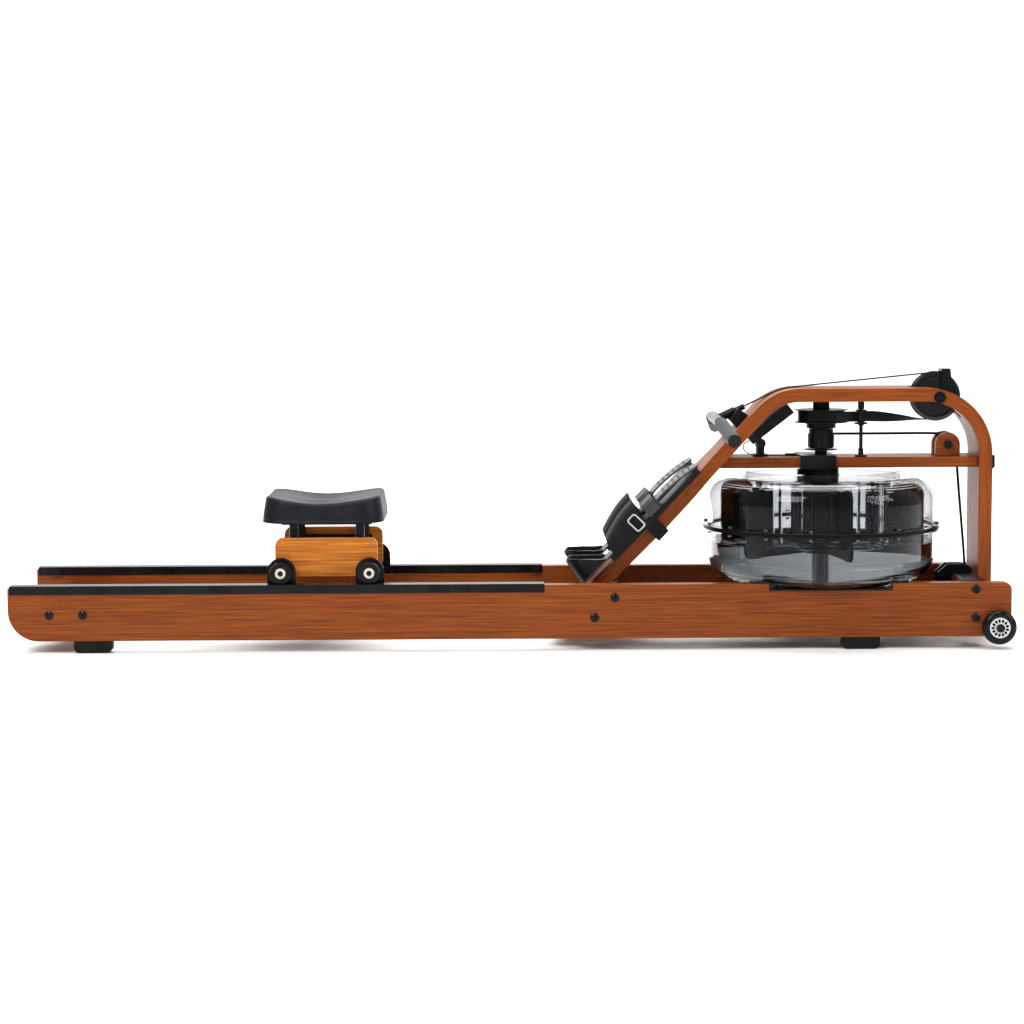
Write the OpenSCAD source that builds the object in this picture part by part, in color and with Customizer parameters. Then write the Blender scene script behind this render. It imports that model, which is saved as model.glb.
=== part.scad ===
// Water-resistance rowing machine with a timber frame, a clear tank and a sliding seat.
// X runs from the rower's end to the tank, Z is up, and the right-hand side is -Y.
// The origin is on the floor, under the middle of the machine.

/* [Frame] */
// Length of the two side rails
rail_length = 2092; // [2080:1:2100]
// Distance over the outer faces of the rails
frame_w = 380; // [376:1:386]
// Thickness of a rail
rail_t = 32; // [30:1:34]
// Height of the rail's top edge above the floor
rail_top = 138; // [137:0.5:139]
// Height of the rail's bottom edge above the floor
rail_bottom = 25.2; // [25:0.1:26]
// Radius of the big rounded corner at the rower's end
tail_r = 64; // [40:1:70]
// Length of the seat track from the rower's end
track_length = 1114; // [1100:1:1120]

/* [Arch] */
// Thickness of the laminated arch board
arch_t = 28; // [26:0.5:28]
// Width of the arch board
arch_w = 144; // [140:1:150]
// Width of the sloped leg under the feet
leg_w = 200; // [190:2:206]
// Height of the arch's top face
arch_top = 537.8; // [537:0.1:539]
// Width of the shelf under the arch
shelf_w = 112; // [108:1:120]
// Thickness of the shelf
shelf_t = 22.5; // [20:0.5:23]

/* [Water tank] */
// Radius of the flange where the two tank shells meet
flange_r = 251.8; // [250:0.1:253]
// Radius of the tank's upright wall
tank_r = 243; // [241:0.5:244]
// Wall of the moulded shells
tank_wall = 4; // [3:0.5:5]
// Number of bolts round the flange
flange_bolt_count = 16; // [12:1:20]
// Number of paddles on the impeller
paddle_count = 6; // [4:1:8]

/* [Drive] */
// Radius of the top pulley's flanges
pulley_r = 53; // [52:0.5:54]
// Width of the woven drive belt
belt_w = 22.5; // [20:0.5:24]
// Thickness of the drive belt
belt_t = 2.4; // [2:0.1:3]
// Diameter of the elastic recoil cord
cord_d = 5.6; // [5:0.1:6]

/* [Seat] */
// Radius of a seat wheel
seat_wheel_r = 22.5; // [22:0.1:23]
// Distance between the front and rear seat wheels
seat_wheelbase = 185; // [180:1:190]
// Length of the seat pad along the rails
pad_length = 258; // [240:1:262]
// Width of the seat pad
pad_w = 284; // [270:1:290]

/* [Foot plates] */
// Width of one foot plate
foot_w = 95; // [85:1:98]
// Distance of each foot plate's middle from the centre plane
foot_y = 84; // [80:1:88]

/* [Handle] */
// Radius of the foam grips
grip_r = 14.3; // [13:0.1:15]
// Distance from the middle of the handle to each end
handle_half = 250; // [240:1:255]

/* [Transport wheels] */
// Radius of a transport wheel
roller_r = 36; // [34:0.5:37]

/* [Hidden] */
$fn = 48;

tiny = 0.1;                     // gap between pieces that are screwed together
fit = 0.05;                     // running clearance of a shaft, on the radius
rail_x0 = -1050;                // rower's end of the rails
rail_x1 = rail_x0 + rail_length;
rail_out = frame_w / 2;         // outer face of a rail
rail_in = rail_out - rail_t;    // inner face of a rail
sides = [-1, 1];                // right, then left

track_top = rail_top + 3;
track_skirt = 18;               // how far the track's sides reach down
track_x0 = rail_x0 + 4;
track_x1 = track_x0 + track_length;
track_wall = 1.6;
screw_pitch = 218;              // spacing of the track screws
screw_x0 = -1032;

// Holes for the frame bolts: [x, z], shared by the rails and the cross pieces.
bolt_r = 5;
rear_bolts = [[-964, 80], [-894, 80]];
middle_bolts = [[172.6, 69.3], [214.7, 111.1]];
front_bolts = [[967.4, 66.2], [967.4, 124.8]];
frame_bolts = concat(rear_bolts, middle_bolts, front_bolts);
bolt_depth = 40;                // how far a bolt runs into a cross piece
cross_t = 32;
front_beam_t = 48;

// The arch follows two straight runs, a bend, a flat top and a right-angle bend.
leg_foot_z = 48;
kink = [302.8, 261.4];          // where the sloped leg steepens a little
low_slope = 44.9;
high_slope = 47.1;
slope = 46;                     // mean slope, used by what is fixed to the leg
slope_start = [168.3, 127.4];   // where the leg's upper face passes the rail's top
bend_c = [611.9, 417.8];
bend_r = arch_top - bend_c[1];
corner_c = [880, 397.8];
corner_r = arch_top - corner_c[1];
front_leg_x = corner_c[0] + corner_r;

shelf_top = 391.5;
shelf_z = shelf_top - shelf_t;
shelf_x1 = front_leg_x - arch_t;

axis_x = 665;                   // the tank's upright axis
shaft_r = 8;
pocket_r = 229.6;               // pocket in the rails that takes the bowl
pocket_z = 122.7;
bowl_z = 126;
bowl_corner = 60;
seam_z = 242;                   // middle of the flange joint
flange_t = 6;
collar_r = 170;
collar_top = 361;
lid_z = 345;

spool_r = 49;                   // radius of the belt on its spool
spool_z = 476.6;                // middle height of the flat belt run
spool_flange_r = 56.8;
drum_r = 25;
pulley_c = [907.6, 518];
pulley_groove = 49;
pulley_half = 12.8;
idler_c = [745, -41.2];
idler_r = 8;
recoil_c = [932, 415.5];
recoil_groove = 19;
lower_c = [957, 133];
lower_groove = 17;

carriage_x = -389.5;
wheel_z = track_top + seat_wheel_r + 0.1;
wheel_y = 174;
wheel_w = 20;
board_y = 117;
board_t = 20;
seat_axle_r = 4;
pad_x = -397;
pad_z = 262;

roller_c = [1014, roller_r + 10];
roller_y0 = rail_out + 4;
roller_w = 24;

grip_in = [440, 106, 470];      // where the bar bends, and where it ends
grip_out = [458, handle_half, 440];

monitor_pivot = [534.3, 418.7];
monitor_tilt = 37.6;
key_x = 82;
key_r = 6;

// ---- helpers ----

// Points of an arc from angle a0 to a1.
function arc(c, r, a0, a1, n = 12) =
    [for (i = [0:n]) c + r * [cos(a0 + (a1 - a0) * i / n), sin(a0 + (a1 - a0) * i / n)]];

// A rectangle from corner a to corner b with rounded corners.
function soft_box(a, b, r, n = 6) = concat(
    arc([b[0] - r, b[1] - r], r, 0, 90, n),
    arc([a[0] + r, b[1] - r], r, 90, 180, n),
    arc([a[0] + r, a[1] + r], r, 180, 270, n),
    arc([b[0] - r, a[1] + r], r, 270, 360, n));

// Points of a smooth curve through hand-chosen points, k steps to each span.
function mid_curve(a, b, c, d, t) = 0.5 * ((2 * b) + (c - a) * t
    + (2 * a - 5 * b + 4 * c - d) * t * t + (3 * b - a - 3 * c + d) * t * t * t);
function smooth(p, k) = let (m = len(p) - 1) concat(
    [for (i = [0:m - 1]) for (j = [0:k - 1])
        mid_curve(p[max(i - 1, 0)], p[i], p[i + 1], p[min(i + 2, m)], j / k)],
    [p[m]]);

function unit(v) = v / norm(v);

// An outline in the X-Z plane, given thickness along Y from y0 to y1.
module plate_xz(points, y0, y1) {
    translate([0, y1, 0]) rotate([90, 0, 0]) linear_extrude(y1 - y0) polygon(points);
}

// A cylinder along Y from y0 to y1.
module rod_y(x, z, r, y0, y1) {
    translate([x, y1, z]) rotate([90, 0, 0]) cylinder(r = r, h = y1 - y0);
}

// A round rod between two points.
module rod(a, b, r) {
    d = b - a;
    translate(a)
        rotate([0, acos(d[2] / norm(d)), atan2(d[1], d[0])])
            cylinder(r = r, h = norm(d));
}

// A tube or strip swept along a curve: each ring is [centre, side direction, up direction].
module sweep(rings, section) {
    n = len(section);
    m = len(rings);
    points = [for (g = rings) for (s = section) g[0] + s[0] * g[1] + s[1] * g[2]];
    sides_of = [for (i = [0:m - 2]) for (j = [0:n - 1]) let (k = (j + 1) % n)
        each [[i * n + j, (i + 1) * n + j, (i + 1) * n + k],
              [i * n + j, (i + 1) * n + k, i * n + k]]];
    first = [for (j = [0:n - 1]) j];
    last = [for (j = [0:n - 1]) m * n - 1 - j];
    polyhedron(points, concat([first], sides_of, [last]));
}

// A round cord of radius r along the points p, with its side held level.
module cord(p, r, side = [0, 1, 0]) {
    m = len(p) - 1;
    rings = [for (i = [0:m]) let (
        t = unit(p[min(i + 1, m)] - p[max(i - 1, 0)]),
        u = unit(side - (side * t) * t))
        [p[i], u, cross(t, u)]];
    sweep(rings, [for (a = [0:45:315]) r * [cos(a), sin(a)]]);
}

// Things fixed to the sloped leg: X runs up the slope and Z away from its face.
module on_leg() {
    translate([slope_start[0], 0, slope_start[1]]) rotate([0, -slope, 0]) children();
}

// ---- rails and cross pieces ----

module rail(side) {
    outline = concat(
        arc([rail_x0 + tail_r, rail_bottom + tail_r], tail_r, 180, 270, 16),
        arc([rail_x1 - 6, rail_bottom + 6], 6, 270, 360, 4),
        arc([rail_x1 - 15, rail_top - 15], 15, 0, 90, 8),
        arc([rail_x0 + 5, rail_top - 5], 5, 90, 180, 4));
    difference() {
        plate_xz(outline, min(side * rail_in, side * rail_out), max(side * rail_in, side * rail_out));
        for (b = frame_bolts) rod_y(b[0], b[1], bolt_r + tiny, -300, 300);
        rod_y(roller_c[0], roller_c[1], bolt_r + tiny, -300, 300);
        translate([axis_x, 0, pocket_z]) cylinder(r = pocket_r, h = 100, $fn = 120);
    }
}

module right_rail() { color("sienna") rail(-1); }
module left_rail() { color("sienna") rail(1); }

module track(side) {
    lo = side > 0 ? rail_in : -rail_out;
    difference() {
        translate([track_x0, lo - track_wall - tiny, track_top - track_skirt])
            cube([track_length, rail_t + 2 * track_wall + 2 * tiny, track_skirt]);
        translate([track_x0 - 1, lo - tiny, track_top - track_skirt - 1])
            cube([track_length + 2, rail_t + 2 * tiny, rail_top + tiny - track_top + track_skirt + 1]);
    }
}

module right_track() { color("dimgray") track(-1); }
module left_track() { color("dimgray") track(1); }

// A board between the rails, given by its outline in the X-Z plane.
module cross_board(outline, bolts) {
    half = rail_in - tiny;
    difference() {
        plate_xz(outline, -half, half);
        for (b = bolts) for (s = sides)
            rod_y(b[0], b[1], bolt_r + tiny, s > 0 ? half - bolt_depth : -half - 1, s > 0 ? half + 1 : bolt_depth - half);
    }
}

module rear_crossmember() {
    color("sienna") cross_board(soft_box([-986, 64], [-872, 96], 4), rear_bolts);
}

// Leans back against the underside of the sloped leg.
module middle_crossmember() {
    up = [cos(low_slope), sin(low_slope)];
    back = [up[1], -up[0]];
    c = (middle_bolts[0] + middle_bolts[1]) / 2;
    a = 40;
    t = cross_t / 2;
    color("sienna") cross_board([c - a * up - t * back, c - a * up + t * back,
                                 c + a * up + t * back, c + a * up - t * back], middle_bolts);
}

module front_crossmember() {
    x1 = front_leg_x - arch_t - tiny;
    color("sienna") difference() {
        cross_board(soft_box([x1 - front_beam_t, 42], [x1, rail_top - 1], 3), front_bolts);
        translate([x1 - 100, -21, 96]) cube([200, 42, 100]);
    }
}

// ---- arch and shelf ----

// In plan the board is wide under the feet and draws in to the arch's width in an S.
module arch_plan() {
    d = (leg_w - arch_w) / 2;
    run = 84;
    r = (run * run + d * d) / (4 * d);
    turn = asin(run / 2 / r);
    x0 = 362;
    half = concat(
        [[50, leg_w / 2]],
        arc([x0, leg_w / 2 - r], r, 90, 90 - turn, 8),
        arc([x0 + run, arch_w / 2 + r], r, 270 - turn, 270, 8),
        [[1100, arch_w / 2]]);
    polygon(concat(half, [for (i = [len(half) - 1:-1:0]) [half[i][0], -half[i][1]]]));
}

module arch() {
    low_up = [cos(low_slope), sin(low_slope)];
    low_in = [low_up[1], -low_up[0]];
    foot_x = slope_start[0] - (slope_start[1] - leg_foot_z) / tan(low_slope);
    foot_in_x = foot_x + arch_t / sin(low_slope);
    kink_in = kink + arch_t * [sin(slope), -cos(slope)];
    outline = concat(
        [[foot_x, leg_foot_z], kink],
        arc(bend_c, bend_r, 90 + high_slope, 90, 14),
        arc(corner_c, corner_r, 90, 0, 20),
        [[front_leg_x, leg_foot_z], [front_leg_x - arch_t, leg_foot_z]],
        arc(corner_c, corner_r - arch_t, 0, 90, 20),
        arc(bend_c, bend_r - arch_t, 90, 90 + high_slope, 14),
        [kink_in, [foot_in_x, leg_foot_z]]);
    color("peru") difference() {
        intersection() {
            plate_xz(outline, -leg_w / 2 - 1, leg_w / 2 + 1);
            linear_extrude(700) arch_plan();
        }
        // slot for the top pulley, and the hole for its axle
        translate([pulley_c[0] - 58, -16, 420]) cube([116, 32, 200]);
        rod_y(pulley_c[0], pulley_c[1], 5.02, -200, 200);
    }
}

module shelf() {
    // The left end is cut to the slope of the leg.
    inner = arch_t / sin(high_slope) + tiny;
    x_at = function(z) kink[0] + (z - kink[1]) / tan(high_slope) + inner + 1;
    color("sienna") difference() {
        plate_xz([[x_at(shelf_z), shelf_z], [shelf_x1 - tiny, shelf_z],
                  [shelf_x1 - tiny, shelf_top], [x_at(shelf_top), shelf_top]],
                 -shelf_w / 2, shelf_w / 2);
        translate([axis_x, 0, 0]) cylinder(r = 16, h = 600);
        translate([recoil_c[0] + recoil_groove + cord_d / 2 - 9, -9, 300]) cube([18, 18, 200]);
    }
}

// ---- feet, bolts, stops, saddles ----

module feet() {
    color("black") for (s = sides) for (x = [-914, 689])
        plate_xz(concat(arc([x + 12, 12], 12, 180, 270, 6), arc([x + 68, 12], 12, 270, 360, 6),
                        [[x + 80, rail_bottom - tiny], [x, rail_bottom - tiny]]),
                 s > 0 ? rail_in + 1 : -rail_out + 1, s > 0 ? rail_out - 1 : -rail_in - 1);
}

// A button-head bolt that runs inwards from a rail's outer face.
module button_bolt(x, z, s, length) {
    y = rail_out + tiny;
    rod_y(x, z, bolt_r, s > 0 ? y - length : -y, s > 0 ? y : length - y);
    translate([x, s * y, z]) rotate([-90 * s, 0, 0]) difference() {
        intersection() {
            cylinder(r = 9.3, h = 5);
            translate([0, 0, -8.5]) sphere(r = 13.5);
        }
        translate([0, 0, 2.5]) cylinder(r = 3, h = 4, $fn = 6);
    }
}

module frame_fasteners() {
    color("black") {
        for (s = sides) {
            for (b = frame_bolts) button_bolt(b[0], b[1], s, rail_t + bolt_depth - 3);
            // axle bolts of the transport wheels
            rod_y(roller_c[0], roller_c[1], bolt_r,
                  s > 0 ? rail_in - 12 : -roller_y0 - roller_w - 3, s > 0 ? roller_y0 + roller_w + 3 : 12 - rail_in);
            rod_y(roller_c[0], roller_c[1], 9,
                  s > 0 ? roller_y0 + roller_w + 0.5 : -roller_y0 - roller_w - 4,
                  s > 0 ? roller_y0 + roller_w + 4 : -roller_y0 - roller_w - 0.5);
            rod_y(roller_c[0], roller_c[1], 8.5,
                  s > 0 ? rail_out + tiny : -roller_y0 + 0.5, s > 0 ? roller_y0 - 0.5 : -rail_out - tiny);
            // track screws
            for (x = [screw_x0:screw_pitch:track_x1])
                rod_y(x, track_top - 10.5, 2.6,
                      s > 0 ? rail_out + track_wall + 2 * tiny : -rail_out - track_wall - 1.6,
                      s > 0 ? rail_out + track_wall + 1.6 : -rail_out - track_wall - 2 * tiny);
        }
        // round nuts on the back of the sloped leg, just above its cross piece
        for (y = [-46, 46]) translate([217.8, y, 137.3]) rotate([0, 90 + low_slope, 0])
            translate([0, 0, 0.2]) cylinder(r = 9, h = 8);
    }
}

module seat_stops() {
    color("black") for (s = sides) for (x = [-1015, 42]) {
        y = rail_in - track_wall - 2 * tiny;
        difference() {
            translate([x, s > 0 ? y - 7 : -y, 124]) cube([21, 7, 14]);
            rod_y(x + 7, 131, 2.5, -y - 9, -y + 4);
        }
    }
}

// Moulded liners that carry the bowl in the rails' pockets.
module tank_saddles() {
    color("black") for (s = sides) difference() {
        union() {
            translate([axis_x, 0, pocket_z + tiny])
                intersection() {
                    cylinder(r = pocket_r - tiny, h = rail_top + 2.6 - pocket_z, $fn = 120);
                    translate([-300, s > 0 ? rail_in : -rail_out, -10]) cube([600, rail_t, 100]);
                }
            translate([axis_x - 161, s > 0 ? rail_in - 1 : -rail_out - 1, rail_top + tiny])
                cube([322, rail_t + 2, 2.5]);
        }
        translate([axis_x, 0, bowl_z - tiny]) cylinder(r = pocket_r - 3, h = 60, $fn = 120);
    }
}

module front_bumper() {
    x = front_leg_x + tiny;
    color("black") {
        translate([x, -30, 363]) cube([10, 60, 29]);
        translate([x + 10, -24, 365]) cube([4, 48, 26]);
    }
}

// ---- tank ----

module turned(points) {
    translate([axis_x, 0, 0]) rotate_extrude($fn = 120) polygon(points);
}

module tank_lower_shell() {
    c = [tank_r - bowl_corner, bowl_z + bowl_corner];
    color("lightgray", 0.4) turned(concat(
        [[0, bowl_z]],
        arc(c, bowl_corner, 270, 360, 12),
        [[tank_r, seam_z - flange_t - 1], [flange_r, seam_z - flange_t - 1],
         [flange_r, seam_z - 1], [tank_r - tank_wall, seam_z - 1]],
        arc(c, bowl_corner - tank_wall, 360, 270, 12),
        [[14, bowl_z + tank_wall], [14, bowl_z + 16], [shaft_r + 0.6, bowl_z + 16],
         [shaft_r + 0.6, bowl_z + 6], [0, bowl_z + 6]]));
}

module tank_upper_shell() {
    r = 50;
    c = [tank_r - r, lid_z + 4 - r];
    color("lightgray", 0.4) turned(concat(
        [[flange_r, seam_z + 1], [flange_r, seam_z + flange_t + 1], [tank_r, seam_z + flange_t + 1]],
        arc(c, r, 0, 90, 12),
        [[collar_r, lid_z + 4], [collar_r, collar_top], [collar_r - 4, collar_top],
         [collar_r - 4, lid_z + 4], [42, lid_z + 4], [42, lid_z], [tank_r - r, lid_z]],
        arc(c, r - tank_wall, 90, 0, 12),
        [[tank_r - tank_wall, seam_z + 1]]));
}

module tank_gasket() {
    color("black") turned([[tank_r - 1, seam_z - 0.9], [flange_r - 1, seam_z - 0.9],
                           [flange_r - 1, seam_z + 0.9], [tank_r - 1, seam_z + 0.9]]);
}

// Small bolts round the flange: the head above it, the nut below.
module tank_bolts() {
    step = 360 / flange_bolt_count;
    color("black") for (i = [0:flange_bolt_count - 1])
        translate([axis_x, 0, 0]) rotate([0, 0, (i + 0.5) * step]) translate([flange_r - 4.4, 0, 0]) {
            translate([0, 0, seam_z + flange_t + 1 + tiny]) cylinder(r = 4.2, h = 3.2, $fn = 24);
            translate([0, 0, seam_z - flange_t - 5 - tiny]) cylinder(r = 4, h = 4, $fn = 6);
        }
}

// Only the water below the paddles: they turn in the rest of it.
module water() {
    gap = 0.5;
    c = [tank_r - bowl_corner, bowl_z + bowl_corner];
    color("lightblue", 0.4) turned(concat(
        [[14 + gap, bowl_z + tank_wall + gap]],
        arc(c, bowl_corner - tank_wall - gap, 270, 360, 12),
        [[tank_r - tank_wall - gap, 208], [229, 208], [229, 178], [14 + gap, 178]]));
}

module inner_reservoir() {
    color("dimgray", 0.6) {
        turned([[41, 208], [135, 208], [135, lid_z - tiny], [131, lid_z - tiny], [131, 212], [45, 212],
                [45, lid_z - tiny], [41, lid_z - tiny]]);
        translate([axis_x, 0, 0]) for (i = [0:7]) rotate([0, 0, 22.5 + 45 * i])
            translate([45 + tiny, -1.5, 212 + tiny]) cube([86 - 2 * tiny, 3, 120]);
        // upright ribs outside its wall
        translate([axis_x, 0, 0]) for (i = [0:11]) rotate([0, 0, 15 + 30 * i])
            translate([134, -1.5, 208]) cube([6, 3, 130]);
    }
}

// The dial that sets the water level, with the valve sleeve it turns.
module level_dial() {
    color("black") {
        turned([[14, 350], [38, 350], [38, 364], [35, 366], [14, 366]]);
        turned([[36, 216], [38, 216], [38, 350], [36, 350]]);
        translate([axis_x - 50, -7, 351]) cube([14, 14, 12]);
    }
}

module main_shaft() {
    color("silver") translate([axis_x, 0, bowl_z + 7]) cylinder(r = shaft_r, h = 503 - bowl_z - 7);
}

// A hub low in the tank carries arms, and each arm carries an upright paddle.
module impeller() {
    color("black") difference() {
        union() {
            translate([axis_x, 0, 182]) cylinder(r = 24, h = 22);
            for (i = [0:paddle_count - 1]) translate([axis_x, 0, 0])
                rotate([0, 0, 40 + i * 360 / paddle_count]) {
                    translate([20, -4, 186]) cube([190, 8, 12]);
                    translate([0, 2.5, 0]) rotate([90, 0, 0]) linear_extrude(5)
                        polygon(soft_box([148, 184], [222, 334], 22));
                }
        }
        translate([axis_x, 0, 100]) cylinder(r = shaft_r + 0.02, h = 200);
    }
}

// ---- the upright drive above the tank ----

// Bearing block clamped round the shelf, and the upper bearing under the arch.
module shaft_bearings() {
    arch_under = arch_top - arch_t;
    color("black") {
        difference() {
            translate([615, -62, 366.6]) cube([75, 124, 29]);
            translate([500, -shelf_w / 2 - tiny, shelf_z - tiny]) cube([300, shelf_w + 2 * tiny, shelf_t + 2 * tiny]);
            translate([axis_x, 0, 0]) cylinder(r = shaft_r + fit, h = 600);
        }
        difference() {
            translate([axis_x, 0, 395.8]) cylinder(r = 13, h = 7);
            translate([axis_x, 0, 0]) cylinder(r = shaft_r + fit, h = 600);
        }
        difference() {
            translate([axis_x, 0, 491]) cylinder(r = 18, h = arch_under - 491 - tiny);
            translate([axis_x, 0, 480]) cylinder(r = shaft_r + fit, h = 24);
        }
        translate([588, -8, shelf_top + tiny]) cube([24, 16, 5]);
    }
}

// The belt winds on this spool; a one-way clutch in its hub drives the shaft.
module drive_spool() {
    color("black") difference() {
        turned([[shaft_r + fit, 451], [31.5, 451], [31.5, 461], [29, 462.6], [spool_flange_r, 462.6],
                [spool_flange_r, 464.4], [spool_r, 464.4], [spool_r, 488.8],
                [spool_flange_r, 488.8], [spool_flange_r, 490.4], [shaft_r + fit, 490.4]]);
        for (a = [0:60:300]) translate([axis_x, 0, 460]) rotate([0, 0, a])
            translate([38, 0, 0]) cylinder(r = 6, h = 60);
    }
}

// The recoil cord winds on this ribbed drum, fixed under the spool.
module recoil_drum() {
    color("black") {
        turned([[shaft_r + fit, 408], [26, 408], [26, 449], [shaft_r + fit, 449]]);
        turned([[shaft_r + fit, 403.6], [35, 403.6], [35, 406], [shaft_r + fit, 406]]);
        translate([axis_x, 0, 409]) for (a = [0:30:330]) rotate([0, 0, a])
            translate([25.5, -1.5, 0]) cube([2.5, 3, 30]);
        turned([[shaft_r + fit, 405.5], [14, 405.5], [14, 409], [shaft_r + fit, 409]]);
        turned([[shaft_r + fit, 448.5], [20, 448.5], [20, 450.9], [shaft_r + fit, 450.9]]);
    }
}

module idler_post() {
    top = arch_top - arch_t;
    color("silver") {
        translate([idler_c[0], idler_c[1], shelf_top + tiny]) {
            cylinder(r = 13, h = 4);
            cylinder(r = 5.7, h = 18);
            cylinder(r = 4, h = top - shelf_top - 2 * tiny);
        }
        translate([idler_c[0], idler_c[1], 457.8]) cylinder(r = 6, h = 3);
        translate([idler_c[0], idler_c[1], 492.5]) cylinder(r = 7, h = top - 492.5 - tiny);
    }
}

module idler_roller() {
    color("black") translate([idler_c[0], idler_c[1], 0]) difference() {
        union() {
            translate([0, 0, 461]) cylinder(r = 14, h = 3.5);
            translate([0, 0, 461]) cylinder(r = idler_r, h = 30);
            translate([0, 0, 489]) cylinder(r = 12, h = 2.5);
        }
        translate([0, 0, 400]) cylinder(r = 4 + fit, h = 200);
    }
}

// ---- top pulley and belt ----

// A grooved wheel on a Y axis, with a recessed web.
module grooved_wheel(c, r, groove, half, bore) {
    translate([c[0], 0, c[1]]) rotate([90, 0, 0]) rotate_extrude($fn = 96) polygon([
        [bore, -half], [bore + 6, -half], [bore + 6, -half + 5], [groove - 9, -half + 5],
        [groove - 9, -half], [r, -half], [r, 0.5 - half], [groove, 0.9 - half],
        [groove, half - 0.9], [r, half - 0.5], [r, half],
        [groove - 9, half], [groove - 9, half - 5], [bore + 6, half - 5], [bore + 6, half],
        [bore, half]]);
}

module top_pulley() {
    color("black") grooved_wheel(pulley_c, pulley_r, pulley_groove, pulley_half, 5 + fit);
}

module pulley_axles() {
    color("silver") {
        rod_y(pulley_c[0], pulley_c[1], 5, -arch_w / 2 - 2.8, arch_w / 2 + 2.8);
        for (s = sides) {
            y = s * (arch_w / 2 + tiny);
            rod_y(pulley_c[0], pulley_c[1], 12.5, min(y, y + s * 2), max(y, y + s * 2));
            rod_y(pulley_c[0], pulley_c[1], 8.5, min(y + s * 2, y + s * 7), max(y + s * 2, y + s * 7));
        }
        rod_y(recoil_c[0], recoil_c[1], 4, -38, 38);
        for (s = sides) {
            y = s * (31.5 + tiny);
            rod_y(recoil_c[0], recoil_c[1], 8.8, min(y, y + s * 6.5), max(y, y + s * 6.5));
        }
    }
}

// A yoke over the pulley that keeps the belt in its groove.
module belt_keeper() {
    color("black") {
        for (s = sides) difference() {
            plate_xz([[919, 533.2], [944, 523.5], [938, 574], [918, 574]],
                     s > 0 ? 17.5 : -21.5, s > 0 ? 21.5 : -17.5);
            rod_y(934, 536, 2.2, -40, 40);
        }
        translate([918, -21.5, 572]) cube([20, 43, 4.6]);
        rod_y(934, 536, 2, -24, -14);
        rod_y(934, 536, 2, 14, 24);
    }
}

function belt_rings(p, w, t) = let (m = len(p) - 1)
    [for (i = [0:m]) let (
        d = unit(p[min(i + 1, m)] - p[max(i - 1, 0)]),
        a = w[i],
        flat = [0, 1, 0],
        side = unit(flat - (flat * d) * d),
        up = cross(d, side),
        turned_side = cos(a) * side + sin(a) * up)
        [p[i], turned_side, cross(d, turned_side)]];

// The run over the arch and round the pulley, then a quarter twist to the spool.
belt_mid = belt_t / 2;
bend_belt_r = bend_r + 0.3 + belt_mid;
rise = 6.2;                     // slope of the run between the bend and the pulley
pull_slope = 24.6;              // slope of the run between the handle and the bend
over_bend = arc(bend_c, bend_belt_r, 90 + pull_slope, 90 + rise, 6);
round_pulley = arc(pulley_c, pulley_groove + 0.3 + belt_mid, 90 + rise, -90, 20);
belt_start = over_bend[0] - 12 * [cos(pull_slope), sin(pull_slope)];
flat_run = concat([belt_start], over_bend, round_pulley);
twist_run = [[872, 0, 468.6], [838, -6, 471], [803, -14.5, 474], [770, -24.5, spool_z],
             [740, -32, spool_z], [712, -38.8, spool_z], [690, -44.1, spool_z]];
twist = [10, 35, 64, 90, 90, 90, 90];

module drive_belt() {
    flat_points = [for (q = flat_run) [q[0], 0, q[1]]];
    points = concat(flat_points, twist_run);
    angles = concat([for (q = flat_run) 0], twist);
    color("black") sweep(belt_rings(points, angles, belt_t),
        [[-belt_w / 2, -belt_mid], [belt_w / 2, -belt_mid], [belt_w / 2, belt_mid], [-belt_w / 2, belt_mid]]);
}

// The stretch that travels with the handle.
module pull_belt() {
    a = [501, 498.6];
    b = belt_start - 0.3 * [cos(pull_slope), sin(pull_slope)];
    n = belt_mid * [-sin(pull_slope), cos(pull_slope)];
    color("black") plate_xz([a - n, b - n, b + n, a + n], -belt_w / 2, belt_w / 2);
}

// ---- recoil ----

module pulley_cheeks() {
    r = 26;
    color("peru") for (s = sides) difference() {
        plate_xz(concat([[recoil_c[0] - r, shelf_top + tiny]], [[recoil_c[0] + r, shelf_top + tiny]],
                        arc(recoil_c, r, 0, 180, 16)),
                 s > 0 ? 12.5 : -31.5, s > 0 ? 31.5 : -12.5);
        rod_y(recoil_c[0], recoil_c[1], 4.02, -50, 50);
    }
}

// A small sheave for the recoil cord.
module sheave(c, groove) {
    r = groove + 4;
    color("black") translate([c[0], 0, c[1]]) rotate([90, 0, 0]) rotate_extrude($fn = 96)
        polygon([[4 + fit, -6], [r, -6], [r, -5], [groove, -1.5], [groove, 1.5], [r, 5], [r, 6], [4 + fit, 6]]);
}

module recoil_pulley() { sheave(recoil_c, recoil_groove); }

lower_side = 14;
module lower_pulley_housing() {
    outline = [[915, 100], [988, 100], [988, 150], [968, 158], [936, 158], [915, 140]];
    color("black") {
        for (s = sides) difference() {
            plate_xz(outline, s > 0 ? lower_side : -lower_side - 5, s > 0 ? lower_side + 5 : -lower_side);
            rod_y(lower_c[0], lower_c[1], 4.02, -50, 50);
        }
        translate([915, -19, 96.2]) cube([73, 38, 4]);
        // covers over the cross piece, one on each side
        for (s = sides) translate([front_leg_x - arch_t - front_beam_t, s > 0 ? 21.5 : tiny - rail_in, rail_top - 1 + tiny])
            cube([front_beam_t - 2 * tiny, rail_in - 21.5 - tiny, 2]);
        rod_y(lower_c[0], lower_c[1], 4, -20.5, 20.5);
    }
}

module lower_pulley() { sheave(lower_c, lower_groove); }

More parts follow.
